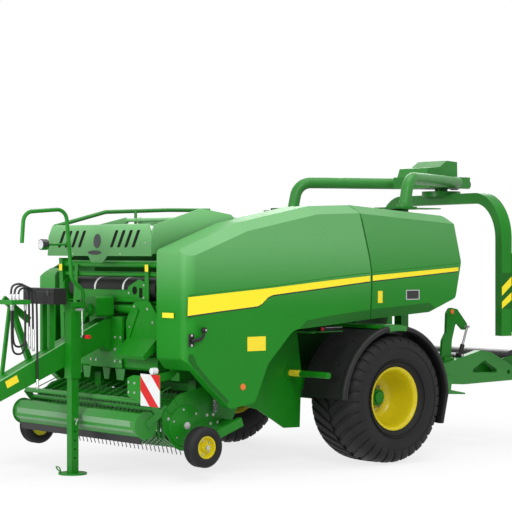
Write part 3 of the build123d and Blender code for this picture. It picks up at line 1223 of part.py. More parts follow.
save("wrapper_chassis", wrapper_chassis())
save("guide_arms", guide_arms())
save("overhead_frame", overhead_frame())
save("head_cover", head_cover())
save("head_motor", head_motor())
save("rotor_arms", rotor_arms())
save("film_stretchers", film_stretchers())
save("table_frame", table_frame())
save("table_rollers", table_rollers())
save("hood", hood())
save("right_roof_rail", right_roof_rail())
save("panel_front_left", panel("front_left", front_outline(), PANEL_TOP_Y, PANEL_Y, 110) + panel_ties(PANEL_Y))
save("panel_rear_left", panel("rear_left", rear_outline(), PANEL_REAR_TOP_Y, PANEL_Y))
save("panel_front_right", mirrored(panel("front_right", front_outline(PANEL_FAR_TOP), PANEL_FAR_TOP_Y,
                                         PANEL_FAR_Y, 110) + panel_ties(PANEL_FAR_Y)))
save("panel_rear_right", mirrored(panel("rear_right", rear_outline(PANEL_FAR_TOP), PANEL_REAR_TOP_Y,
                                        PANEL_FAR_Y)))
save("pickup_frame", pickup_frame())
save("pickup_reel", pickup_reel())
save("crop_guard", crop_guard())
save("hose_arch", hose_arch())
save("toolbox", toolbox())
save("hose_holder", hose_holder() - drawbar())
save("hydraulic_hoses", hydraulic_hoses())
save("side_steps", side_steps())
save("gate_barrels", gate_barrels())
save("gate_rods", gate_rods())
save("hazard_board", hazard_board())
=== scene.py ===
import math

import bmesh
import bpy
from mathutils import Matrix, Vector


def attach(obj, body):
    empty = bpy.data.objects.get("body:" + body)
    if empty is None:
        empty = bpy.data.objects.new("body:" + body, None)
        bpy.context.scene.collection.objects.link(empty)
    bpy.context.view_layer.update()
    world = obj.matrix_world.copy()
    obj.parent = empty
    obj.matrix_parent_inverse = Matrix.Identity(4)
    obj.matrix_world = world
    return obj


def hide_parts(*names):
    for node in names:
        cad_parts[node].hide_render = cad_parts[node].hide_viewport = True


# Looks of a round baler with bale wrapper. Metres; X counts from the axle to the hitch, +Y is the
# machine's left and Z = 0 the ground. AXLE_X is the axle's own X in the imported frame.

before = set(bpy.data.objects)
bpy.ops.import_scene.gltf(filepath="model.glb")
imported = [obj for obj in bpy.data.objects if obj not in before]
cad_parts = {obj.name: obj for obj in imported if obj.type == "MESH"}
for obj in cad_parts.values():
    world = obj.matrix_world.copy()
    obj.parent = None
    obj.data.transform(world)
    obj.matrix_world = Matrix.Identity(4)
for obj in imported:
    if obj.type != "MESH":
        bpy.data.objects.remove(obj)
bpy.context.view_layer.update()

AXLE_X = -0.578
WHEEL_Y = 1.185
AXLE_Z = 0.620
TYRE_R = 0.620
TYRE_HALF = 0.315
FENDER_R = 0.665
GAUGE_AT = (2.226, 1.320, 0.306)
PANEL_Y = 1.300  # outer face of the left panels
PAINT = 0.0012  # thickness of a stripe or a sticker
REEL_X, REEL_Z, REEL_BAR_R = 2.185, 0.470, 0.135
SHIELD_Y = 1.018
GUARD_X, GUARD_Z, GUARD_R = 2.602, 0.492, 0.113
JACK_X = 2.790
ROLL_X, ROLL_Z, ROLL_R = 2.180, 1.682, 0.100
ROTOR_X, ROTOR_R, ROTOR_PARKED = -2.120, 1.150, -12
HOSE_D = 0.019

# Camera at the photograph's place
CAMERA_AT = (11.445, 13.720, 2.035)
CAMERA_TURN = 40.0
CAMERA_LENS = 126.6
CAMERA_SHIFT_Y = -6 / 512


# Materials

def node(tree, kind, **values):
    made = tree.nodes.new(kind)
    for key, value in values.items():
        if key in made.inputs:
            made.inputs[key].default_value = value
        else:
            setattr(made, key, value)
    return made


def speckle(tree, scale, low, high, detail=3.0):
    """A noise from object coordinates, mapped to a range."""
    place = node(tree, "ShaderNodeTexCoord")
    made = node(tree, "ShaderNodeTexNoise")
    made.inputs["Scale"].default_value = scale
    made.inputs["Detail"].default_value = detail
    tree.links.new(place.outputs["Object"], made.inputs["Vector"])
    ramp = node(tree, "ShaderNodeMapRange")
    ramp.inputs["To Min"].default_value = low
    ramp.inputs["To Max"].default_value = high
    tree.links.new(made.outputs["Fac"], ramp.inputs["Value"])
    return ramp.outputs["Result"]


def material(name, colour, rough=0.4, metal=0.0, coat=0.0, vary=0.06, grain=40.0, bump=0.0,
             bump_scale=300.0, low=None, span=(0.6, 2.4), gloss=0.25, rough_vary=0.08):
    """A procedural finish: colour varies a little, or runs from low to colour up the span as painted light
    and shade.
    """
    made = bpy.data.materials.new(name)
    made.use_nodes = True
    tree = made.node_tree
    shader = tree.nodes["Principled BSDF"]
    shader.inputs["Metallic"].default_value = metal
    shader.inputs["Coat Weight"].default_value = coat
    shader.inputs["Coat Roughness"].default_value = 0.15
    shader.inputs["Specular IOR Level"].default_value = gloss
    made.diffuse_color = (*colour, 1)
    base = node(tree, "ShaderNodeMixRGB", blend_type="MULTIPLY")
    base.inputs["Fac"].default_value = 1.0
    if low is None:
        base.inputs["Color1"].default_value = (*colour, 1)
    else:
        # The run by height is painted light and shade: the low colour down below, the lit colour up high.
        place = node(tree, "ShaderNodeTexCoord")
        split = node(tree, "ShaderNodeSeparateXYZ")
        tree.links.new(place.outputs["Object"], split.inputs["Vector"])
        height = node(tree, "ShaderNodeMapRange", interpolation_type="SMOOTHSTEP")
        height.inputs["From Min"].default_value = span[0]
        height.inputs["From Max"].default_value = span[1]
        tree.links.new(split.outputs["Z"], height.inputs["Value"])
        run = node(tree, "ShaderNodeMixRGB")
        run.inputs["Color1"].default_value = (*low, 1)
        run.inputs["Color2"].default_value = (*colour, 1)
        tree.links.new(height.outputs["Result"], run.inputs["Fac"])
        tree.links.new(run.outputs["Color"], base.inputs["Color1"])
    tree.links.new(speckle(tree, grain, 1 - vary, 1 + vary), base.inputs["Color2"])
    tree.links.new(base.outputs["Color"], shader.inputs["Base Color"])
    tree.links.new(speckle(tree, grain * 0.4, max(rough - rough_vary, 0.02), rough + rough_vary),
                   shader.inputs["Roughness"])
    if bump:
        lift = node(tree, "ShaderNodeBump")
        lift.inputs["Strength"].default_value = bump
        lift.inputs["Distance"].default_value = 0.002
        tree.links.new(speckle(tree, bump_scale, 0, 1, 6), lift.inputs["Height"])
        tree.links.new(lift.outputs["Normal"], shader.inputs["Normal"])
    return made


GREEN = material("green_paint", (0.006, 0.182, 0.006), 0.42, coat=0.06, vary=0.12, grain=14)
# A darker copy of the green paint: painted shade for parts that sit in the machine's shadow.
SHADED_GREEN = material("shaded_green_paint", (0.0015, 0.046, 0.0015), 0.50, coat=0.03, vary=0.15, grain=14)
# A lighter copy of the green paint: painted light for the parts that get it.
LIT_GREEN = material("light_green_paint", (0.028, 0.205, 0.028), 0.42, coat=0.06, vary=0.08, grain=14)
# Side panels: the run from deep green low down to pale green high up is a painted reflection of the sky.
PANEL = material("panel_green", (0.115, 0.350, 0.115), 0.50, coat=0.04, vary=0.02, grain=5,
                 low=(0.004, 0.195, 0.005), span=(1.45, 2.20))
PANEL_REAR = material("panel_green_rear", (0.075, 0.285, 0.075), 0.50, coat=0.04, vary=0.02, grain=5,
                      low=(0.004, 0.190, 0.005), span=(1.50, 2.35))
# A dark copy of the green paint: painted shade in the panel gap and under the turned-in edges; also the leg
# stripes' ground.
PANEL_EDGE = material("panel_edge_green", (0.004, 0.105, 0.004), 0.5, vary=0.06, grain=14)
# Pale green for painted highlights along edges.
HIGHLIGHT_GREEN = material("painted_highlight_green", (0.20, 0.46, 0.20), 0.45, coat=0.1, vary=0.03, grain=14)
# Pale green for painted highlights on the crop guard.
GUARD_HIGHLIGHT = material("guard_facet_highlight_green", (0.150, 0.300, 0.150), 0.5, vary=0.05, grain=14)
# Hood and roof cover: a far paler copy of the green paint as painted light, brightening upwards as a painted
# reflection.
HOOD = material("hood_green_painted_light", (0.23, 0.56, 0.23), 0.42, coat=0.08, vary=0.03, grain=5,
                low=(0.07, 0.23, 0.07), span=(2.00, 2.48))
YELLOW = material("yellow_paint", (0.63, 0.52, 0.008), 0.36, coat=0.15, vary=0.05, grain=20)
STRIPE = material("stripe_yellow", (0.92, 0.76, 0.020), 0.40, coat=0.1, vary=0.02, grain=20)
STICKER = material("sticker_yellow", (0.86, 0.68, 0.03), 0.45, vary=0.05, grain=90)
BLACK = material("black_plastic", (0.011, 0.011, 0.011), 0.50, vary=0.15, grain=60, bump=0.15,
                 bump_scale=500)
GLOSS_BLACK = material("black_gloss", (0.008, 0.008, 0.008), 0.25, vary=0.1, gloss=0.5)
RUBBER = material("tyre_rubber", (0.010, 0.010, 0.0105), 0.62, vary=0.25, grain=9, bump=0.3,
                  bump_scale=220)
HOSE = material("hose_rubber", (0.008, 0.008, 0.009), 0.42, vary=0.15, grain=80, gloss=0.4)
DARK_STEEL = material("dark_steel", (0.085, 0.088, 0.090), 0.45, metal=0.6, vary=0.25, grain=40)
STEEL = material("worn_steel", (0.30, 0.31, 0.32), 0.42, metal=0.85, vary=0.25, grain=30)
CHROME = material("chrome_rod", (0.80, 0.81, 0.83), 0.12, metal=1.0, vary=0.03, rough_vary=0.03)
ZINC = material("zinc_plate", (0.50, 0.51, 0.50), 0.32, metal=0.7, vary=0.12, grain=60)
GREY = material("grey_casting", (0.050, 0.053, 0.055), 0.48, metal=0.3, vary=0.2, grain=50, bump=0.2)
WHITE = material("warning_white", (0.64, 0.64, 0.64), 0.40, vary=0.04, grain=120)
RED = material("warning_red", (0.54, 0.010, 0.012), 0.36, vary=0.06, grain=120)
ORANGE = material("orange_reflector", (0.72, 0.15, 0.01), 0.22, coat=0.6, vary=0.12, grain=400)
GLASS = material("lamp_lens", (0.60, 0.62, 0.64), 0.10, coat=0.8, vary=0.08, grain=300, gloss=0.5)
NET = material("net_wrap", (0.007, 0.008, 0.007), 0.55, vary=0.3, grain=300, bump=0.4)
# Near black for painted shade inside slots and openings.
SHADE_BLACK = material("painted_shade_black", (0.004, 0.007, 0.004), 0.7, vary=0.1, gloss=0.1)


def dress(made, *names):
    for name in names:
        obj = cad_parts[name]
        obj.data.materials.clear()
        obj.data.materials.append(made)


dress(GREEN, *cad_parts)
dress(BLACK, "toolbox")
dress(YELLOW, "rim_left", "rim_right", "gauge_rim_left", "gauge_rim_right")
dress(PANEL, "panel_front_left", "panel_front_right")
dress(PANEL_REAR, "panel_rear_left", "panel_rear_right")
dress(HOOD, "hood", "roof_cover")
dress(STEEL, "front_rollers", "gate_rollers")
dress(DARK_STEEL, "pickup_reel")
dress(HOSE, "table_rollers")
dress(NET, "net_roll")
dress(CHROME, "gate_rods")
dress(GREY, "head_motor")
dress(ZINC, "jack_crank")
# Painted light: crop guard, frames, covers and wrapper chassis get the lighter green.
dress(LIT_GREEN, "crop_guard", "overhead_frame", "head_cover", "right_roof_rail", "wrapper_chassis")
# Painted shade: chamber walls, feeder, tailgate, hinge rods, gate barrels and axle beam get the darker green.
dress(SHADED_GREEN, "chamber_wall_left", "chamber_wall_right", "feeder_housing", "tailgate", "hinge_rod_left",
      "hinge_rod_right", "gate_barrels", "axle_beam")


# Stage

def camera():
    lens = bpy.data.cameras.new("photo_camera")
    lens.lens = CAMERA_LENS
    lens.sensor_width = 36.0
    lens.shift_y = CAMERA_SHIFT_Y
    lens.clip_end = 200
    seen = bpy.data.objects.new("photo_camera", lens)
    bpy.context.collection.objects.link(seen)
    turn = math.radians(CAMERA_TURN)
    seen.location = CAMERA_AT
    seen.rotation_euler = (math.radians(90), 0, math.radians(180) - turn)
    bpy.context.scene.camera = seen


def area_light(name, at, target, size, power):
    lamp = bpy.data.lights.new(name, "AREA")
    lamp.shape = "DISK"
    lamp.size = size
    lamp.energy = power
    obj = bpy.data.objects.new(name, lamp)
    bpy.context.collection.objects.link(obj)
    obj.location = at
    obj.rotation_mode = "QUATERNION"
    obj.rotation_quaternion = (Vector(target) - Vector(at)).to_track_quat("-Z", "Y")


# (name, place, target, size, power)
LIGHTS = (("key", (5, 10, 9), (0, 0, 1.2), 6.0, 740), ("top", (-2, 1, 11), (-0.5, 0, 1.5), 8.0, 500),
          ("fill", (12, 1, 4), (1.5, 0, 1.0), 5.0, 700), ("back", (-9, -8, 7), (0, 0, 1.2), 6.0, 400))


def seen_rays(tree):
    """1 where the camera, a reflection or a clear surface looks, else 0."""
    path = node(tree, "ShaderNodeLightPath")
    total = path.outputs["Is Camera Ray"]
    for name in ("Is Glossy Ray", "Is Transmission Ray"):
        both = node(tree, "ShaderNodeMath", operation="MAXIMUM")
        tree.links.new(total, both.inputs[0])
        tree.links.new(path.outputs[name], both.inputs[1])
        total = both.outputs[0]
    return total


def studio_floor():
    """Pale floor that keeps the object's shadow and fades to the white backdrop away from it."""
    made = material("studio_floor", (0.84, 0.84, 0.84), 0.8, vary=0.01, grain=2)
    tree = made.node_tree
    place = node(tree, "ShaderNodeTexCoord")
    far = node(tree, "ShaderNodeVectorMath", operation="LENGTH")
    tree.links.new(place.outputs["Object"], far.inputs[0])
    fade = node(tree, "ShaderNodeMapRange", interpolation_type="SMOOTHSTEP")
    fade.inputs["From Min"].default_value = 2.5
    fade.inputs["From Max"].default_value = 7.5
    fade.inputs["To Min"].default_value = 0.78
    tree.links.new(far.outputs["Value"], fade.inputs["Value"])
    share = node(tree, "ShaderNodeMath", operation="MULTIPLY")
    tree.links.new(fade.outputs["Result"], share.inputs[0])
    tree.links.new(seen_rays(tree), share.inputs[1])
    white = node(tree, "ShaderNodeEmission")
    white.inputs["Color"].default_value = (1, 1, 1, 1)
    mix = node(tree, "ShaderNodeMixShader")
    tree.links.new(share.outputs[0], mix.inputs["Fac"])
    tree.links.new(tree.nodes["Principled BSDF"].outputs[0], mix.inputs[1])
    tree.links.new(white.outputs[0], mix.inputs[2])
    tree.links.new(mix.outputs[0], tree.nodes["Material Output"].inputs["Surface"])
    bpy.ops.mesh.primitive_plane_add(size=60, location=(0, 0, -0.002))
    plane = bpy.context.object
    plane.name = "studio_floor"
    plane.data.materials.append(made)


def stage():
    scene = bpy.context.scene
    scene.view_settings.view_transform = "Standard"
    world = bpy.data.worlds.new("studio")
    scene.world = world
    world.use_nodes = True
    tree = world.node_tree
    sky = tree.nodes["Background"]
    sky.inputs["Color"].default_value = (0.94, 0.96, 1.0, 1)
    sky.inputs["Strength"].default_value = 0.50
    seen = node(tree, "ShaderNodeBackground")
    seen.inputs["Color"].default_value = (1, 1, 1, 1)
    mix = node(tree, "ShaderNodeMixShader")
    tree.links.new(seen_rays(tree), mix.inputs["Fac"])
    tree.links.new(sky.outputs[0], mix.inputs[1])
    tree.links.new(seen.outputs[0], mix.inputs[2])
    tree.links.new(mix.outputs[0], tree.nodes["World Output"].inputs["Surface"])
    studio_floor()
    for light in LIGHTS:
        area_light(*light)


camera()
stage()


# Mesh tools

class Form:
    """Gathers plain closed forms, in metres from the axle, into one mesh."""

    def __init__(self):
        self.points, self.faces = [], []

    def add(self, points, faces):
        start = len(self.points)
        self.points += [(p[0] + AXLE_X, p[1], p[2]) for p in points]
        self.faces += [tuple(start + i for i in f) for f in faces]
        return self

    def box(self, x0, x1, y0, y1, z0, z1):
        xs, ys, zs = sorted((x0, x1)), sorted((y0, y1)), sorted((z0, z1))
        corners = [(x, y, z) for z in zs for y in ys for x in xs]
        return self.add(corners, [(0, 2, 3, 1), (4, 5, 7, 6), (0, 1, 5, 4), (2, 6, 7, 3), (0, 4, 6, 2),
                                  (1, 3, 7, 5)])

    def prism(self, axis, low, high, outline):
        """An outline of (u, v) points pushed along an axis."""
        at = {"x": lambda u, v, w: (w, u, v), "y": lambda u, v, w: (u, w, v)}[axis]
        n = len(outline)
        low, high = sorted((low, high))
        points = [at(u, v, low) for u, v in outline] + [at(u, v, high) for u, v in outline]
        faces = [tuple(reversed(range(n))), tuple(range(n, 2 * n))]
        faces += [(i, (i + 1) % n, n + (i + 1) % n, n + i) for i in range(n)]
        return self.add(points, faces)

    def loft(self, rings, closed=False):
        """Rings of equally many points, joined in order."""
        n = len(rings[0])
        points = [p for ring in rings for p in ring]
        faces = []
        count = len(rings)
        for r in range(count if closed else count - 1):
            a, b = r * n, (r + 1) % count * n
            faces += [(a + i, a + (i + 1) % n, b + (i + 1) % n, b + i) for i in range(n)]
        if not closed:
            faces += [tuple(reversed(range(n))), tuple((count - 1) * n + i for i in range(n))]
        return self.add(points, faces)

    def pipe(self, path, radius, sides=14):
        """A round tube through points; radius may be a list."""
        path = [Vector(p) for p in path]
        radii = radius if isinstance(radius, list) else [radius] * len(path)
        ways = [(b - a).normalized() for a, b in zip(path, path[1:])]
        tangents = [ways[0]] + [(a + b).normalized() for a, b in zip(ways, ways[1:])] + [ways[-1]]
        side = tangents[0].orthogonal().normalized()
        rings = []
        for p, t, r in zip(path, tangents, radii):
            side = (side - t * side.dot(t)).normalized()
            up = t.cross(side)
            rings.append([p + side * r * math.cos(2 * math.pi * i / sides)
                          + up * r * math.sin(2 * math.pi * i / sides) for i in range(sides)])
        return self.loft(rings)

    def rod(self, a, b, radius, sides=20):
        return self.pipe([a, b], radius, sides)

    def spun(self, centre, axis, profile, sides=32, closed=False):
        """A profile of (along, radius) points turned about an axis; a closed one comes round to its start."""
        way = Vector(axis).normalized()
        u = way.orthogonal().normalized()
        v = way.cross(u)
        middle = Vector(centre)
        spokes = [u * math.cos(2 * math.pi * i / sides) + v * math.sin(2 * math.pi * i / sides)
                  for i in range(sides)]
        rings = [[middle + way * s + spoke * max(r, 0.0002) for spoke in spokes] for s, r in profile]
        return self.loft(rings, closed)

    def bolt(self, at, way, size=0.012):
        """A hexagon head on a washer."""
        at, way = Vector(at), Vector(way).normalized()
        self.spun(at, way, [(0, size * 0.95), (0.0022, size * 0.95)], 16)
        return self.spun(at, way, [(0.001, size * 0.66), (size * 0.5, size * 0.66),
                                   (size * 0.56, size * 0.54)], 6)

    def make(self, name, finish, body="chassis", slot=None, bevel=0.0, smooth=True, replaces=(), turn=None):
        """Builds the mesh, puts it on its body and hides the nodes that it stands for; the slot is not used.
        """
        mesh = bpy.data.meshes.new(name)
        mesh.from_pydata(self.points, [], self.faces)
        if turn is not None:
            mesh.transform(turn)
        mesh.validate()
        fix = bmesh.new()
        fix.from_mesh(mesh)
        bmesh.ops.recalc_face_normals(fix, faces=fix.faces)
        fix.to_mesh(mesh)
        fix.free()
        obj = bpy.data.objects.new(name, mesh)
        bpy.context.collection.objects.link(obj)
        mesh.materials.append(finish)
        if bevel:
            round_off = obj.modifiers.new("edges", "BEVEL")
            round_off.width = bevel
            round_off.segments = 2
            round_off.limit_method = "ANGLE"
            round_off.angle_limit = math.radians(40)
        if smooth:
            mesh.shade_smooth()
            mesh.set_sharp_from_angle(angle=math.radians(38))
        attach(obj, body)
        if replaces:
            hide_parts(*replaces)
        return obj


def sides():
    return ((1, "left"), (-1, "right"))


# Hoses parked in the holder

RACK_TOP, RACK_LOW = 1.590, 1.550
# name: (length, Y, spline points as X and Z)
HOSES = {
    "hose_arch_inner": (0.84, 0.050, [
        (3.400, RACK_TOP), (3.400, 1.655), (3.385, 1.722), (3.300, 1.738), (3.222, 1.700), (3.210, 1.600),
        (3.206, 1.400), (3.205, 1.150)]),
    "hose_arch_middle": (0.83, 0.072, [
        (3.378, RACK_TOP), (3.378, 1.645), (3.360, 1.706), (3.276, 1.722), (3.196, 1.684), (3.184, 1.580),
        (3.180, 1.370), (3.178, 1.128)]),
    "hose_arch_outer": (1.14, 0.094, [
        (3.352, RACK_TOP), (3.352, 1.635), (3.334, 1.690), (3.248, 1.706), (3.166, 1.666), (3.154, 1.540),
        (3.150, 1.200), (3.146, 0.790)]),
    "hose_loop_inner": (0.82, 0.062, [
        (3.386, RACK_LOW), (3.386, 1.400), (3.384, 1.230), (3.360, 1.172), (3.284, 1.172), (3.258, 1.230),
        (3.256, 1.400), (3.256, RACK_LOW)]),
    "hose_loop_outer": (0.96, 0.086, [
        (3.414, RACK_LOW), (3.414, 1.360), (3.412, 1.176), (3.384, 1.108), (3.300, 1.108), (3.272, 1.176),
        (3.270, 1.360), (3.270, RACK_LOW)])}
FERRULE = [(0, 0.015), (0.012, 0.015), (0.013, 0.0125), (0.050, 0.0125), (0.052, 0.0110)]


def hose_curve(name, y, route):
    run = bpy.data.curves.new(name, "CURVE")
    run.dimensions = "3D"
    run.bevel_depth = HOSE_D / 2
    run.bevel_resolution = 4
    run.resolution_u = 8
    run.use_fill_caps = True
    spline = run.splines.new("NURBS")
    spline.points.add(len(route) - 1)
    for point, (x, z) in zip(spline.points, route):
        point.co = (x + AXLE_X, y, z, 1)
    spline.order_u = 3
    spline.use_endpoint_u = True
    run.materials.append(HOSE)
    obj = bpy.data.objects.new(name, run)
    bpy.context.collection.objects.link(obj)
    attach(obj, "chassis")
    return obj


def hoses():
    """Five hydraulic hoses: three arch back over the rack, two hang below it in loops."""
    ferrules = Form()
    for name, (length, y, route) in HOSES.items():
        obj = hose_curve(name, y, route)
        (x, z), (end_x, end_z) = route[0], route[-1]
        ferrules.spun((x, y, z), (0, 0, 1 if z == RACK_TOP else -1), FERRULE, 18)
        if name.startswith("hose_arch"):
            up = 0.088 if name.endswith("outer") else 0.200
            tip = Form().spun((end_x, y, end_z - 0.001), (0, 0, 1), [
                (0, 0.0110), (0.004, 0.0135), (0.030, 0.0135), (0.032, 0.0120), (up - 0.003, 0.0120),
                (up, 0.0105)], 18)
            coupling = [tip.make(name.replace("arch", "coupling"), ZINC)]
        else:
            ferrules.spun((end_x, y, end_z), (0, 0, -1), FERRULE, 18)
    ferrules.make("hose_ferrules", ZINC)
    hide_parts("hydraulic_hoses")


hoses()


# Wheels

def road_tyre(side, label):
    """Flotation tyre: a round carcass with slanted blocks, wrapped from its middle round its shoulders."""
    half, bead, blocks, slant = TYRE_HALF, 0.273, 34, 0.27
    outside = [(0.235, bead), (0.250, bead + 0.018), (0.262, bead + 0.045), (0.284, 0.340), (0.302, 0.375),
               (half - 0.003, 0.420), (half, 0.455), (half - 0.004, 0.490), (half - 0.012, 0.520),
               (half - 0.026, 0.552), (half - 0.050, 0.578), (half - 0.085, 0.592), (0.150, 0.600),
               (0.075, TYRE_R - 0.018)]
    inside = [(0.190, 0.570), (0.285, 0.470), (0.209, bead)]
    loop = outside + [(-y, r) for y, r in reversed(outside)] + [(-y, r) for y, r in reversed(inside)] + inside
    form = Form().spun((0, side * WHEEL_Y, AXLE_Z), (0, 1, 0), loop, 96, closed=True)
    for y, r in ((0.2925, 0.345), (0.3095, 0.362)):
        form.spun((0, side * WHEEL_Y, AXLE_Z), (0, side, 0),
                  [(y, r - 0.004), (y + 0.004, r), (y + 0.002, r + 0.005), (0.280, r)], 96, closed=True)
    # (distance from the middle, outer radius, inner radius, share of the slant)
    run = [(0.010, 0.6195, 0.585, 0.0), (0.080, 0.6190, 0.585, 0.30), (0.160, 0.6165, 0.582, 0.62),
           (0.225, 0.6080, 0.572, 0.84), (0.268, 0.5905, 0.555, 0.95), (0.293, 0.5660, 0.535, 1.0),
           (0.308, 0.5350, 0.510, 1.03), (0.3145, 0.5050, 0.490, 1.05)]
    for row in (1, -1):
        for i in range(blocks):
            start = 2 * math.pi * (i + (0.5 if row < 0 else 0)) / blocks
            rings = []
            for y, outer, inner, share in run:
                # the block's cross-section: corners as half width and radius
                wide = 0.036 + 0.006 * share
                ring = []
                for w, r in ((-wide - 0.005, inner), (-wide, outer - 0.005), (-wide + 0.006, outer),
                             (wide - 0.006, outer), (wide, outer - 0.005), (wide + 0.005, inner)):
                    a = start + slant * share + w / outer
                    ring.append((r * math.cos(a), side * WHEEL_Y + row * y, AXLE_Z + r * math.sin(a)))
                rings.append(ring)
            form.loft(rings)
    form.make("tyre_" + label + "_tread", RUBBER, "wheel_" + label, replaces=["tyre_" + label])


def road_rim(side, label):
    """Deep smooth rim with a rolled lip, its green hub, wheel nuts and valve."""
    centre, way, body = (0, side * WHEEL_Y, AXLE_Z), (0, side, 0), "wheel_" + label
    disc_y, hub_end = WHEEL_Y - 0.048, WHEEL_Y + 0.035
    outside = [(-0.262, 0.303), (-0.250, 0.303), (-0.247, 0.280), (-0.236, 0.2725), (-0.15, 0.2715),
               (0.0, 0.265), (0.15, 0.2715), (0.236, 0.2725), (0.247, 0.280), (0.250, 0.303), (0.262, 0.303)]
    inside = [(0.264, 0.296), (0.259, 0.286), (0.246, 0.272), (0.225, 0.2635), (0.170, 0.2590),
              (0.110, 0.2520), (0.060, 0.2430), (0.020, 0.2310), (-0.010, 0.2170),
              (-0.030, 0.2000), (-0.041, 0.1800),
              (-0.046, 0.1500), (-0.048, 0.1000), (-0.048, 0.0500), (-0.062, 0.0500), (-0.062, 0.1500),
              (-0.058, 0.1850), (-0.048, 0.2060), (-0.030, 0.2200), (-0.100, 0.2450), (-0.225, 0.2635),
              (-0.246, 0.272), (-0.259, 0.286), (-0.264, 0.296)]
    Form().spun(centre, way, outside + inside, 96, closed=True).make(
        "rim_dish_" + label, YELLOW, body, replaces=["rim_" + label])
    hub = Form().spun(centre, way, [(-0.050, 0.085), (0.030, 0.080), (0.036, 0.070), (0.037, 0.060),
                                    (0.056, 0.056), (0.059, 0.045), (0.059, 0.0)], 40)
    for i in range(6):
        a = math.pi / 3 * i
        hub.bolt((0.068 * math.cos(a), side * hub_end, AXLE_Z + 0.068 * math.sin(a)), way, 0.009)
    hub.make("hub_" + label, GREEN, body)
    nuts = Form()
    for i in range(10):
        a = 2 * math.pi * (i + 0.5) / 10
        at = (0.1155 * math.cos(a), side * disc_y, AXLE_Z + 0.1155 * math.sin(a))
        nuts.spun(at, way, [(0, 0.017), (0.006, 0.0165), (0.008, 0.0135), (0.030, 0.0135), (0.032, 0.012)], 6)
        nuts.spun(at, way, [(0, 0.009), (0.046, 0.009), (0.048, 0.007)], 14)
    nuts.make("wheel_nuts_" + label, ZINC, body)
    Form().spun((0.163, side * (WHEEL_Y + 0.108), AXLE_Z + 0.190), way,
                [(0, 0.010), (0.010, 0.009), (0.012, 0.005), (0.055, 0.005), (0.056, 0.007), (0.070, 0.006)],
                14).make("valve_" + label, GLOSS_BLACK, body, "black_rubber")


def gauge_wheel(side, label):
    """Small ribbed tyre, and the nut and bolts on its rim."""
    x, y, z = GAUGE_AT
    half, body = 0.075, "gauge_wheel_" + label
    profile = [(half - 0.020, 0.100), (half - 0.008, 0.106), (half - 0.002, 0.120), (half, 0.135),
               (half - 0.006, 0.157), (half - 0.018, 0.171), (half - 0.030, 0.1775)]
    for rib in (0.036, 0.012):
        profile += [(rib + 0.007, 0.180), (rib - 0.007, 0.180), (rib - 0.008, 0.175), (rib - 0.014, 0.175)]
    loop = profile + [(-s, r) for s, r in reversed(profile)]
    Form().spun((x, side * y, z), (0, 1, 0), loop, 72, closed=True).make(
        "gauge_tread_" + label, RUBBER, body, replaces=["gauge_tyre_" + label])
    fit = Form().spun((x, side * (y + 0.060), z), (0, side, 0),
                      [(0, 0.020), (0.016, 0.020), (0.018, 0.016)], 6)
    for i in range(5):
        a = 2 * math.pi * i / 5
        fit.bolt((x + 0.066 * math.cos(a), side * (y + 0.0225), z + 0.066 * math.sin(a)), (0, side, 0), 0.009)
    fit.make("gauge_nuts_" + label, ZINC, body)


def fender(side, label):
    """Black fender in two halves with its thick rolled outer edge, and the green clamp between them."""
    r, y_in, y_edge, y_out = FENDER_R, 0.890, 1.426, 1.497
    section = [(y_in, r), (y_edge, r), (y_edge + 0.004, r - 0.014), (y_out - 0.016, r - 0.016),
               (y_out - 0.004, r - 0.010), (y_out, r + 0.004), (y_out - 0.002, r + 0.020),
               (y_out - 0.012, r + 0.031), (y_out - 0.030, r + 0.035), (y_edge + 0.018, r + 0.034),
               (y_edge + 0.005, r + 0.028), (y_edge - 0.002, r + 0.010), (y_in, r + 0.010)]

    def ring(degrees, points, back=0.0, drop=0.0):
        a = math.radians(degrees)
        return [(q * math.cos(a) + back, side * y, AXLE_Z + q * math.sin(a) - drop) for y, q in points]

    form = Form()
    # (first angle, last angle, length of the flap that hangs from the end)
    for start, stop, flap in ((2, 82, 0.0), (98, 178, 0.290)):
        rings = [ring(start + (stop - start) * i / 32, section) for i in range(33)]
        if flap:
            rings += [ring(stop, section, 0.070 * share, flap * share) for share in (0.5, 1.0)]
        form.loft(rings)
    form.make("fender_skin_" + label, BLACK, replaces=["fender_" + label])
    strip = [(y_edge - 0.020, r - 0.014), (y_out, r - 0.018), (y_out + 0.0025, r - 0.010),
             (y_out + 0.0015, r + 0.032), (y_edge - 0.020, r + 0.036)]
    clamp = Form().loft([ring(80.5 + 19 * i / 8, strip) for i in range(9)])
    top = AXLE_Z + r
    clamp.box(-0.024, 0.024, side * 0.900, side * 1.452, top + 0.0105, top + 0.0325)
    clamp.make("fender_clamp_" + label, LIT_GREEN, bevel=0.003)
    bolts = Form()
    for degrees in (30, 55, 125, 150):
        u, v = math.cos(math.radians(degrees)), math.sin(math.radians(degrees))
        for y in (1.020, 1.300):
            bolts.bolt(((r + 0.010) * u, side * y, AXLE_Z + (r + 0.010) * v), (u, 0, v), 0.012)
    bolts.make("fender_bolts_" + label, GLOSS_BLACK)


for side, label in sides():
    road_tyre(side, label)
    road_rim(side, label)
    gauge_wheel(side, label)
    fender(side, label)


# Side panels

def plate_on_side(name, finish, outline, thick=PAINT, slot=None):
    Form().prism("y", PANEL_Y, PANEL_Y + thick, outline).make(name, finish, "panels_left", slot, smooth=False)


def band(run, drop, shift=0.0):
    """A strip below a run of (x, z) points."""
    return run + [(x + shift, z - drop) for x, z in reversed(run)]


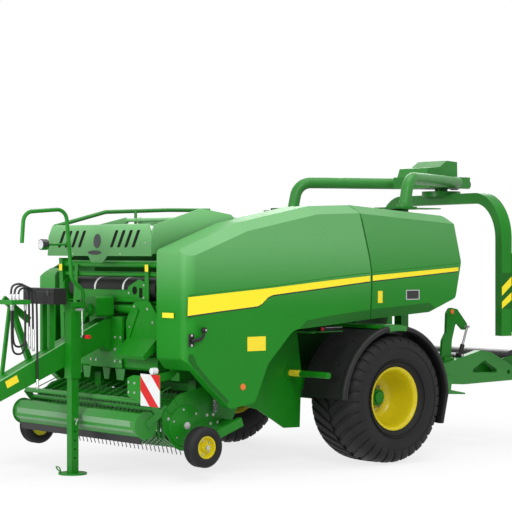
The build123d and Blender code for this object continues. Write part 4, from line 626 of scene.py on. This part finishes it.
def stripes():
    """The yellow stripe over both left panels, the thin black line under it and the crease's painted shade
    above.
    """
    top = [(2.374, 1.622), (2.019, 1.648), (1.401, 1.692), (0.701, 1.752), (0.184, 1.790)]
    low = [(0.184, 1.738), (0.701, 1.690), (1.401, 1.627), (1.460, 1.606), (1.530, 1.549), (1.579, 1.528),
           (2.019, 1.492), (2.380, 1.459)]
    plate_on_side("stripe_front", STRIPE, top + low)
    plate_on_side("stripe_line_front", GLOSS_BLACK, band(low, 0.012, 0.003))
    top = [(0.150, 1.793), (-1.028, 1.864)]
    low = [(-1.022, 1.826), (0.150, 1.741)]
    plate_on_side("stripe_rear", STRIPE, top + low)
    plate_on_side("stripe_line_rear", GLOSS_BLACK, band(low, 0.010))
    # Painted shade: darker green bands where the panel's crease falls into shade.
    for name, run in (("crease_shade_front", [(2.370, 1.642), (1.401, 1.713), (0.701, 1.783), (0.184, 1.822)]),
                      ("crease_shade_rear", [(0.150, 1.827), (-1.042, 1.906)])):
        plate_on_side(name, GREEN, band(run, 0.009), 0.0006, "panel_green")


def stickers():
    """Bare plates where the photograph shows small signs, the side reflector and the band on the step."""
    left, face = "panels_left", PANEL_Y + PAINT
    flat = Form()
    for x0, x1, z0, z1 in ((1.487, 1.702, 1.126, 1.255), (0.021, 0.082, 1.529, 1.644)):
        flat.box(x0, x1, PANEL_Y, face, z0, z1)
    flat.make("side_stickers", STICKER, left, smooth=False)
    Form().box(-0.478, -0.294, PANEL_Y, face, 1.553, 1.648).make("grey_plate", ZINC, left, smooth=False)
    Form().box(-0.466, -0.306, face, PANEL_Y + 1.5 * PAINT, 1.561, 1.640).make(
        "dark_plate", GLOSS_BLACK, left, smooth=False)
    Form().box(2.395, 2.395 + PAINT, 0.955, 1.120, 1.435, 1.480).make(
        "front_sticker", STICKER, left, smooth=False)
    Form().spun((1.754, PANEL_Y, 0.809), (0, 1, 0),
                [(0, 0.030), (0.004, 0.030), (0.009, 0.026), (0.010, 0.0)], 28).make(
        "side_reflector", ORANGE, left)
    Form().spun((0.790, 0.845, 0.870), (0, 1, 0), [(0, 0.0308), (0.150, 0.0308)], 32).make(
        "step_band", STICKER)


def latch():
    """Black hooked handle on the front panel, with its knob and bolts."""
    y = PANEL_Y
    grip = Form().pipe([(2.355, y + 0.022, 1.240), (2.330, y + 0.028, 1.243), (2.289, y + 0.030, 1.246),
                        (2.245, y + 0.030, 1.262), (2.226, y + 0.030, 1.290), (2.216, y + 0.030, 1.330)],
                       [0.014, 0.016, 0.016, 0.015, 0.013, 0.012], 16)
    grip.spun((2.216, y + 0.012, 1.332), (0, 1, 0),
              [(0, 0.022), (0.024, 0.026), (0.036, 0.020), (0.040, 0.0)], 24)
    grip.box(2.316, 2.372, y, y + 0.012, 1.190, 1.300)
    grip.make("latch_handle", BLACK, "panels_left", bevel=0.002)
    bolts = Form()
    for z in (1.200, 1.288):
        bolts.bolt((2.344, y + 0.012, z), (0, 1, 0), 0.012)
    bolts.bolt((2.216, y + 0.052, 1.332), (0, 1, 0), 0.010)
    bolts.make("latch_bolts", ZINC, "panels_left")


stripes()
stickers()
latch()


# Hood

def hood_face(y, z):
    """The front cover's leaning outer face."""
    return (2.430 - 0.015 * (z - 1.980) / 0.285, y, z)


def hood_patch(form, outline, lift, thick=0.0008):
    """A thin plate over an outline of (y, z) on the cover's face."""
    near = [hood_face(y, z) for y, z in outline]
    n = len(near)
    points = [(x + lift, y, z) for x, y, z in near] + [(x + lift + thick, y, z) for x, y, z in near]
    faces = [tuple(range(n)), tuple(reversed(range(n, 2 * n)))]
    faces += [(i, (i + 1) % n, n + (i + 1) % n, n + i) for i in range(n)]
    form.add(points, faces)


def oval(y, z, half_y, half_z, points):
    turns = [2 * math.pi * i / points for i in range(points)]
    return [(half_y * math.cos(a) + y, z + half_z * math.sin(a)) for a in turns]


def leaning_slot(y):
    """A leaning slot with round ends, as (y, z) points."""
    low, high, lean, half = 2.070, 2.205, 0.52, 0.023
    points = []
    for end, start in ((high, 0), (low, math.pi)):
        for i in range(9):
            a = start + math.pi * i / 8
            z = end + half * 0.55 * math.sin(a)
            points.append((y + half * math.cos(a) + lean * (z - (low + high) / 2), z))
    return points


def hood_details():
    """Cover sheet with long leaning slots painted dark as shade, a blank badge, the grip recess and its
    screws.
    """
    sheet, dark, badge, grip, screws = Form(), Form(), Form(), Form(), Form()
    for side in (-1, 1):
        y0, y1 = sorted((side * 0.215, side * 0.665))
        hood_patch(sheet, [(y0, 2.052), (y1, 2.052), (y1, 2.232), (y0, 2.232)], 0.0002)
        # Painted shade: a dark plate in each slot stands for the shaded inside.
        for i in range(4):
            hood_patch(dark, leaning_slot(side * (0.259 + i * 0.112)), 0.0012)
    hood_patch(badge, oval(-0.010, 2.118, 0.056, 0.066, 40), 0.0002, 0.004)
    hood_patch(grip, oval(-0.045, 2.012, 0.105, 0.020, 32), 0.0002, 0.003)
    for y, z in ((-0.72, 2.10), (0.74, 2.10), (0.36, 2.000), (-0.40, 2.000)):
        screws.bolt(hood_face(y, z), (1, 0, 0), 0.008)
    sheet.make("slot_sheet", HOOD, "hood")
    dark.make("slot_shade", SHADE_BLACK, "hood", smooth=False)
    badge.make("badge_blank", GREY, "hood", bevel=0.001)
    grip.make("grip_recess", GLOSS_BLACK, "hood")
    screws.make("hood_screws", ZINC, "hood")


hood_details()


# Front end

def hazard_board_face():
    """Red and white slanted stripes on both faces of the board, its lamp's lenses and its bolts."""
    x0, x1, y0, z0, w = 2.655, 2.661, 0.990, 0.672, 0.280
    for label, x, way in (("front", x1, 1), ("rear", x0, -1)):
        red, white = Form(), Form()
        white.prism("x", x, x + way * PAINT * 0.6, [(y0, z0), (y0 + w, z0), (y0 + w, z0 + w), (y0, z0 + w)])
        # between the lines where y + z is a and b, counted from the board's lower corner
        for a, b in ((0.134, 0.263), (0.426, 0.560)):
            corners = [(min(a, w), max(a - w, 0)), (min(b, w), max(b - w, 0)), (max(b - w, 0), min(b, w)),
                       (max(a - w, 0), min(a, w))]
            points = [p for i, p in enumerate(corners) if p not in corners[:i]]
            red.prism("x", x, x + way * PAINT, [(y0 + p, z0 + q) for p, q in points])
        white.make("board_white_" + label, WHITE, smooth=False)
        red.make("board_red_" + label, RED, smooth=False)
    y, z = y0 + 0.200, z0 + 0.312
    Form().spun((2.640, y, z), (1, 0, 0), [(0, 0.0305), (0.046, 0.0305), (0.054, 0.028), (0.060, 0.016),
                                           (0.061, 0.0)], 28).make("board_lamp", GLASS)
    Form().spun((2.6395, y, z), (-1, 0, 0), [(0, 0.0300), (0.006, 0.028), (0.009, 0.018), (0.010, 0.0)],
                28).make("board_lamp_red", RED)
    bolts = Form()
    for y, z in ((0.803, 0.868), (0.892, 0.864), (0.803, 0.779), (0.892, 0.779)):
        bolts.bolt((x0, y, z), (1, 0, 0), 0.013)
    bolts.make("board_bolts", ZINC)


def net_roll_front():
    """Straps round the net roll; posts, tray, bracket and hanging plates before it, and their stickers."""
    straps, low, high = Form(), ROLL_R + 0.0002, ROLL_R + 0.0016
    for y in (-0.265, 0.185):
        straps.spun((ROLL_X, y, ROLL_Z), (0, 1, 0), [(0, low), (0, high), (0.026, high), (0.026, low)], 48,
                    closed=True)
    straps.make("roll_straps", WHITE)
    posts = Form()
    posts.box(2.276, 2.290, 0.545, 0.604, 1.262, 1.905)
    posts.prism("x", 2.284, 2.294, [(0.270, 1.605), (0.560, 1.575), (0.560, 1.740), (0.470, 1.770),
                                    (0.300, 1.700)])
    posts.prism("x", 2.276, 2.290, [(-0.620, 1.262), (-0.565, 1.262), (-0.520, 1.905), (-0.575, 1.905)])
    posts.box(2.2835, 2.2875, -0.560, 0.560, 1.560, 1.664)
    posts.pipe([(2.2855, -0.560, 1.664), (2.2855, 0.560, 1.664)], 0.005, 10)
    posts.make("roll_posts", GREEN, bevel=0.002)
    hung = Form()
    for y0, y1 in ((-0.421, -0.287), (-0.094, 0.024), (0.106, 0.257)):
        hung.prism("x", 2.290, 2.302, [(y0, 0.943), (y1, 0.943), (y1 - 0.024, 0.832), (y0 + 0.024, 0.832)])
    hung.make("hanging_plates", LIT_GREEN, bevel=0.003)
    # Painted shade: dark plates stand for the shaded inside of the bracket's openings.
    openings = Form().spun((2.2942, 0.400, 1.665), (1, 0, 0), [(0, 0.038), (0.0008, 0.038)], 28)
    openings.box(2.2942, 2.2950, 0.470, 0.520, 1.600, 1.690)
    openings.make("bracket_openings", SHADE_BLACK, smooth=False)
    signs = Form()
    for x, y0, y1 in ((2.2902, 0.551, 0.602), (2.3002, -0.826, -0.774)):
        signs.box(x, x + 0.0010, y0, y1, 1.838, 1.902)
    signs.make("pillar_stickers", STICKER, smooth=False)


def front_bolts():
    """Bolts of the drive guard, the bracket and the cross box."""
    bolts = Form()
    for y, z in ((0.350, 1.330), (0.420, 1.520), (0.620, 1.500), (0.700, 1.380), (0.700, 1.190),
                 (0.340, 1.180)):
        bolts.bolt((2.314, y, z), (1, 0, 0), 0.014)
    for y, z in ((0.310, 1.640), (0.540, 1.715), (0.540, 1.600)):
        bolts.bolt((2.294, y, z), (1, 0, 0), 0.011)
    for y in (-0.235, -0.150, 0.150, 0.235):
        for z in (1.010, 1.120, 1.230):
            bolts.bolt((2.3355, y, z), (1, 0, 0), 0.014)
    bolts.make("front_bolts", ZINC)


def drawbar_fittings():
    """Work lamp on the hose arch, crank grip, toolbox latches, painted highlights on the drawbar's edges,
    shaft splines.
    """
    lamp_y, lamp_z, grip_z = 0.128, 2.085, 1.255
    Form().spun((3.068, lamp_y, lamp_z), (1, 0, 0),
                [(0, 0.030), (0.004, 0.047), (0.058, 0.0485), (0.066, 0.047), (0.068, 0.042), (0.0685, 0.0)],
                36).make("work_lamp_head", GLOSS_BLACK)
    Form().spun((3.1366, lamp_y, lamp_z), (1, 0, 0), [(0, 0.041), (0.0015, 0.040), (0.002, 0.0)], 36).make(
        "work_lamp_lens", GLASS)
    Form().spun((JACK_X, 0.302, grip_z), (0, 1, 0), [(0, 0.0148), (0.002, 0.0160), (0.040, 0.0160)], 24).make(
        "crank_collar", BLACK)
    Form().spun((JACK_X, 0.342, grip_z), (0, 1, 0),
                [(0, 0.0165), (0.046, 0.0175), (0.0545, 0.0150), (0.0550, 0.0)], 24).make(
        "crank_grip", RED, slot="black_plastic")
    box, face = Form(), 3.0452
    box.box(face, 3.0490, -0.296, 0.196, 1.655, 1.661)
    for y in (-0.210, 0.110):
        box.box(face, 3.0530, y - 0.016, y + 0.016, 1.628, 1.672)
    box.box(face, 3.0475, -0.060, -0.052, 1.560, 1.650)
    box.make("toolbox_latches", GREY, bevel=0.001)
    # Painted highlights: thin pale tubes along the drawbar's upper edges.
    trim = Form()
    for y in (-0.071, 0.071):
        trim.pipe([(2.480, y, 1.362), (3.560, y, 0.859)], 0.0055, 8)
    trim.make("drawbar_edge_highlights", HIGHLIGHT_GREEN)
    Form().prism("y", 0.075, 0.0762, [(3.475, 0.868), (3.355, 0.922), (3.330, 0.862), (3.450, 0.808)]).make(
        "drawbar_sticker", STICKER, smooth=False)
    splines, half, rise = Form(), 0.0055, 0.003
    for i in range(6):
        u, v = math.cos(math.pi / 3 * i), math.sin(math.pi / 3 * i)
        y, z = 0.0228 * u, 1.480 + 0.0228 * v
        splines.prism("x", 2.575, 2.668, [
            (y + q * rise * u - p * half * v, z + q * rise * v + p * half * u)
            for p, q in ((-1, -1), (1, -1), (1, 0), (-1, 0))])
    splines.make("input_splines", STEEL, smooth=False)


def jack_fittings():
    """Collar of the jack's sleeve, lock and pin on its leg, and the small wire handle on its foot."""
    Form().box(2.7355, 2.8445, 0.0738, 0.1828, 0.872, 0.902).make("jack_collar", GREEN, bevel=0.002)
    Form().box(2.748, 2.832, 0.0863, 0.1703, 0.474, 0.526).make("jack_lock", GREEN, "jack_leg", bevel=0.002)
    pin = Form().rod((JACK_X, 0.168, 0.500), (JACK_X, 0.206, 0.500), 0.011, 16)
    pin.pipe([(JACK_X, 0.200, 0.500), (2.806, 0.204, 0.470), (2.806, 0.204, 0.452)], 0.0035, 8)
    pin.make("jack_pin", ZINC, "jack_leg")
    Form().pipe([(2.870, 0.060, 0.012), (2.878, 0.052, 0.050), (2.884, 0.046, 0.062), (2.878, 0.000, 0.064),
                 (2.866, -0.030, 0.060), (2.858, -0.026, 0.040), (2.850, 0.020, 0.012)], 0.006, 10).make(
        "foot_handle", GREEN, "jack_leg")


def guard_details():
    """Painted highlights on the crop guard's facets and lip, and a strip of painted shade below it."""
    x, z, flat = GUARD_X, GUARD_Z, GUARD_R * math.cos(math.radians(22.5))
    # Painted highlights: pale strips on the guard's lit facet and lip, and a thin pale line higher up.
    pale = Form().box(x + flat, x + flat + 0.002, -0.930, 0.900, z - 0.012, z + 0.041)
    pale.prism("y", -0.940, 0.940, [(x + flat + 0.001, z - 0.040), (x + flat + 0.003, z - 0.046),
                                    (x + 0.086, z - 0.064), (x + 0.083, z - 0.060)])
    pale.rod((2.560, -0.985, 0.7120), (2.560, 0.985, 0.7120), 0.0030, 8)
    pale.make("guard_facet_highlights", GUARD_HIGHLIGHT, "pickup", smooth=False)
    # Painted shade: a dark strip hangs below the guard where the pickup's inside lies in shadow.
    low = z - flat
    Form().prism("y", -0.960, 0.960, [(x + 0.040, low - 0.0002), (x + 0.046, low - 0.0002),
                                      (x + 0.034, low - 0.062), (x + 0.028, low - 0.062)]).make(
        "guard_shade_strip", HOSE, "pickup", smooth=False)


def pickup_side(side, label):
    """Drive cover, bolts and relief spring on one of the pickup's shields."""
    y, way = side * SHIELD_Y, (0, side, 0)
    cover = Form().spun((REEL_X, y, REEL_Z), way, [(0, 0.185), (0.010, 0.183), (0.014, 0.172), (0.014, 0.120),
                                                   (0.022, 0.108), (0.022, 0.0)], 56)
    for a in (0.6, 1.1, 1.6, 2.1):
        cover.pipe([(REEL_X + r * math.cos(a), y, REEL_Z + r * math.sin(a)) for r in (0.200, 0.275)],
                   0.006, 8)
    cover.make("reel_cover_" + label, GREEN, "pickup")
    bolts = Form()
    for x, z in ((2.376, 0.539), (1.941, 0.549), (1.872, 0.549), (1.900, 0.472), (1.820, 0.479),
                 (1.640, 0.740)):
        bolts.bolt((x, y, z), way, 0.015)
    for i in range(6):
        a = math.pi / 3 * i + 0.3
        bolts.bolt((REEL_X + 0.148 * math.cos(a), y + side * 0.014, REEL_Z + 0.148 * math.sin(a)), way, 0.010)
    bolts.spun((REEL_X, y + side * 0.022, REEL_Z), way, [(0, 0.034), (0.006, 0.033), (0.008, 0.020),
                                                         (0.008, 0.0)], 28)
    bolts.make("shield_bolts_" + label, ZINC, "pickup")
    x, low, high, steps = 1.872, 0.585, 0.725, 108
    turns = [2 * math.pi * 9 * i / steps for i in range(steps + 1)]
    spring = Form().pipe([(x + 0.020 * math.cos(a), side * 1.046 + 0.020 * math.sin(a),
                           low + (high - low) * i / steps) for i, a in enumerate(turns)], 0.0042, 8)
    for end in (low - 0.006, high + 0.006):
        spring.rod((x, y, end), (x, side * 1.060, end), 0.007, 12)
    spring.make("relief_spring_" + label, STEEL, "pickup")


def tine_springs():
    """Coil of each pickup tine round its bar: five bars, 28 tines each."""
    bars, tines, pitch, coil_r = 5, 28, 0.064, 0.0165
    coils = Form()
    for bar in range(bars):
        turn = math.radians(72 * bar - 18)
        x, z = REEL_X + REEL_BAR_R * math.sin(turn), REEL_Z + REEL_BAR_R * math.cos(turn)
        for i in range(tines):
            y = (i - 13.5) * pitch
            coils.pipe([(x + coil_r * math.cos(math.pi * k / 4), y + 0.006 + 0.014 * k / 16,
                         z + coil_r * math.sin(math.pi * k / 4)) for k in range(17)], 0.0032, 5)
    coils.make("tine_coils", STEEL, "pickup_reel")


hazard_board_face()
net_roll_front()
front_bolts()
drawbar_fittings()
jack_fittings()
guard_details()
for side, label in sides():
    pickup_side(side, label)
tine_springs()


# Painted shade along the panels' edges, and the lamp under the panel

def panel_edge_shade():
    """Painted shade: a dark strip in the gap along the rear panel's front edge and under the left panels'
    turned-in lower edges.
    """
    edge = [(0.2995, 2.340), (0.197, 1.993), (0.166, 1.847), (0.161, 1.701), (0.174, 1.388)]
    plate_on_side("panel_gap_shade", PANEL_EDGE, edge + [(x - 0.009, z) for x, z in reversed(edge)], 0.0008)
    for name, outline in (
            ("front", [(1.070, 1.316), (0.700, 1.339), (0.187, 1.383), (0.186, 1.468), (0.700, 1.422),
                       (0.990, 1.385)]),
            ("rear", [(0.172, 1.384), (-0.590, 1.430), (-0.700, 1.462), (-0.620, 1.520), (0.168, 1.470)]),
            ("nose", [(2.370, 1.120), (2.370, 1.085), (2.300, 0.992), (2.140, 0.834), (1.935, 0.658),
                      (1.915, 0.690), (2.118, 0.868), (2.270, 1.020), (2.320, 1.120)])):
        plate_on_side("lower_edge_shade_" + name, PANEL_EDGE, outline, 0.0007)


def side_lamp():
    """Position lamp on its bracket over the fender, below the panel's edge."""
    bracket = Form().box(0.440, 0.740, 1.060, 1.195, 1.262, 1.272)
    bracket.box(0.690, 0.740, 0.826, 1.100, 1.250, 1.263)
    bracket.make("lamp_bracket", LIT_GREEN, bevel=0.002)
    Form().box(0.500, 0.716, 1.150, 1.192, 1.2725, 1.318).make("side_lamp_body", BLACK, bevel=0.004)
    Form().spun((0.700, 1.192, 1.296), (0, 1, 0), [(0, 0.017), (0.008, 0.016), (0.011, 0.010), (0.012, 0.0)],
                24).make("side_lamp_lens", RED)
    Form().rod((0.660, 1.197, 1.306), (0.450, 1.197, 1.306), 0.0045, 12).make("lamp_conduit", ZINC)


panel_edge_shade()
side_lamp()


# Wrapper

def rotor_frame(half_turn):
    """Turns rotor-centred points to the parked rotor's angle, and to the other leg."""
    back = Matrix.Translation((-AXLE_X, 0, 0))
    angle = math.radians(ROTOR_PARKED + (180 if half_turn else 0))
    return Matrix.Translation((ROTOR_X + AXLE_X, 0, 0)) @ Matrix.Rotation(angle, 4, "Z") @ back


def rotor_leg(half_turn, label):
    """Slanted yellow stripes on a dark ground on one leg, and its stretcher's rollers and end nuts."""
    turn, body, face = rotor_frame(half_turn), "wrap_rotor", ROTOR_R + 0.055
    Form().box(-0.060, 0.060, face, face + 0.0010, 1.430, 1.800).make(
        "leg_stripe_ground_" + label, PANEL_EDGE, body, "green_paint", smooth=False, turn=turn)
    bars = Form()
    for high_top, high_low, low_low, low_top in ((1.761, 1.671, 1.564, 1.653), (1.600, 1.519, 1.431, 1.501)):
        bars.prism("y", face + 0.0010, face + 0.0016,
                   [(-0.060, high_top), (-0.060, high_low), (0.060, low_low), (0.060, low_top)])
    bars.make("leg_stripe_bars_" + label, STRIPE, body, smooth=False, turn=turn)
    rollers, nuts = Form(), Form()
    low, high, film_x = 1.190, 2.000, -0.1433
    for x, y, r in ((film_x, 1.030, 0.0412), (film_x, 1.165, 0.0412), (-0.310, 1.075, 0.0312)):
        rollers.spun((x, y, low + 0.022), (0, 0, 1), [(0, r - 0.006), (0.004, r), (high - low - 0.048, r),
                                                      (high - low - 0.044, r - 0.006)], 36)
        for z, way in ((low, -1), (high, 1)):
            nuts.bolt((x, y, z), (0, 0, way), 0.016)
    rollers.make("stretch_rollers_" + label, STEEL, body, turn=turn)
    nuts.make("stretch_nuts_" + label, ZINC, body, turn=turn)


def rear_details():
    """Cylinders behind the guide arms with their pins, the arms' reflectors, and the head's bolts."""
    foot_x, foot_z, eye_x, eye_z = -1.640, 0.940, -1.752, 1.235
    rods, barrels, reflectors, pins = Form(), Form(), Form(), Form()
    for side in (-1, 1):
        y = side * 0.735
        barrels.rod((foot_x, y, foot_z), (-1.682, y, 1.050), 0.024, 20)
        barrels.spun((foot_x, side * 0.702, foot_z), (0, side, 0), [(0, 0.032), (0.060, 0.032)], 24)
        rods.rod((-1.678, y, 1.040), (eye_x, y, eye_z), 0.013, 20)
        pins.rod((eye_x, side * 0.665, eye_z), (eye_x, side * 0.756, eye_z), 0.015, 20)
        pins.rod((foot_x, side * 0.665, foot_z), (foot_x, side * 0.774, foot_z), 0.014, 20)
        reflectors.spun((-1.560, side * 0.7002, 1.395), (0, side, 0),
                        [(0, 0.026), (0.005, 0.026), (0.008, 0.020), (0.009, 0.0)], 24)
    barrels.make("arm_barrels", BLACK)
    rods.make("arm_rods", STEEL, slot="chrome_rod")
    pins.make("arm_pins", ZINC)
    reflectors.make("arm_reflectors", ORANGE)
    bolts = Form()
    for x in (-2.240, -2.010, -1.720):
        for y in (-0.250, 0.250):
            bolts.bolt((x, y, 2.820), (0, 0, 1), 0.012)
    bolts.make("head_bolts", ZINC)


for half_turn, label in ((False, "left"), (True, "right")):
    rotor_leg(half_turn, label)
rear_details()
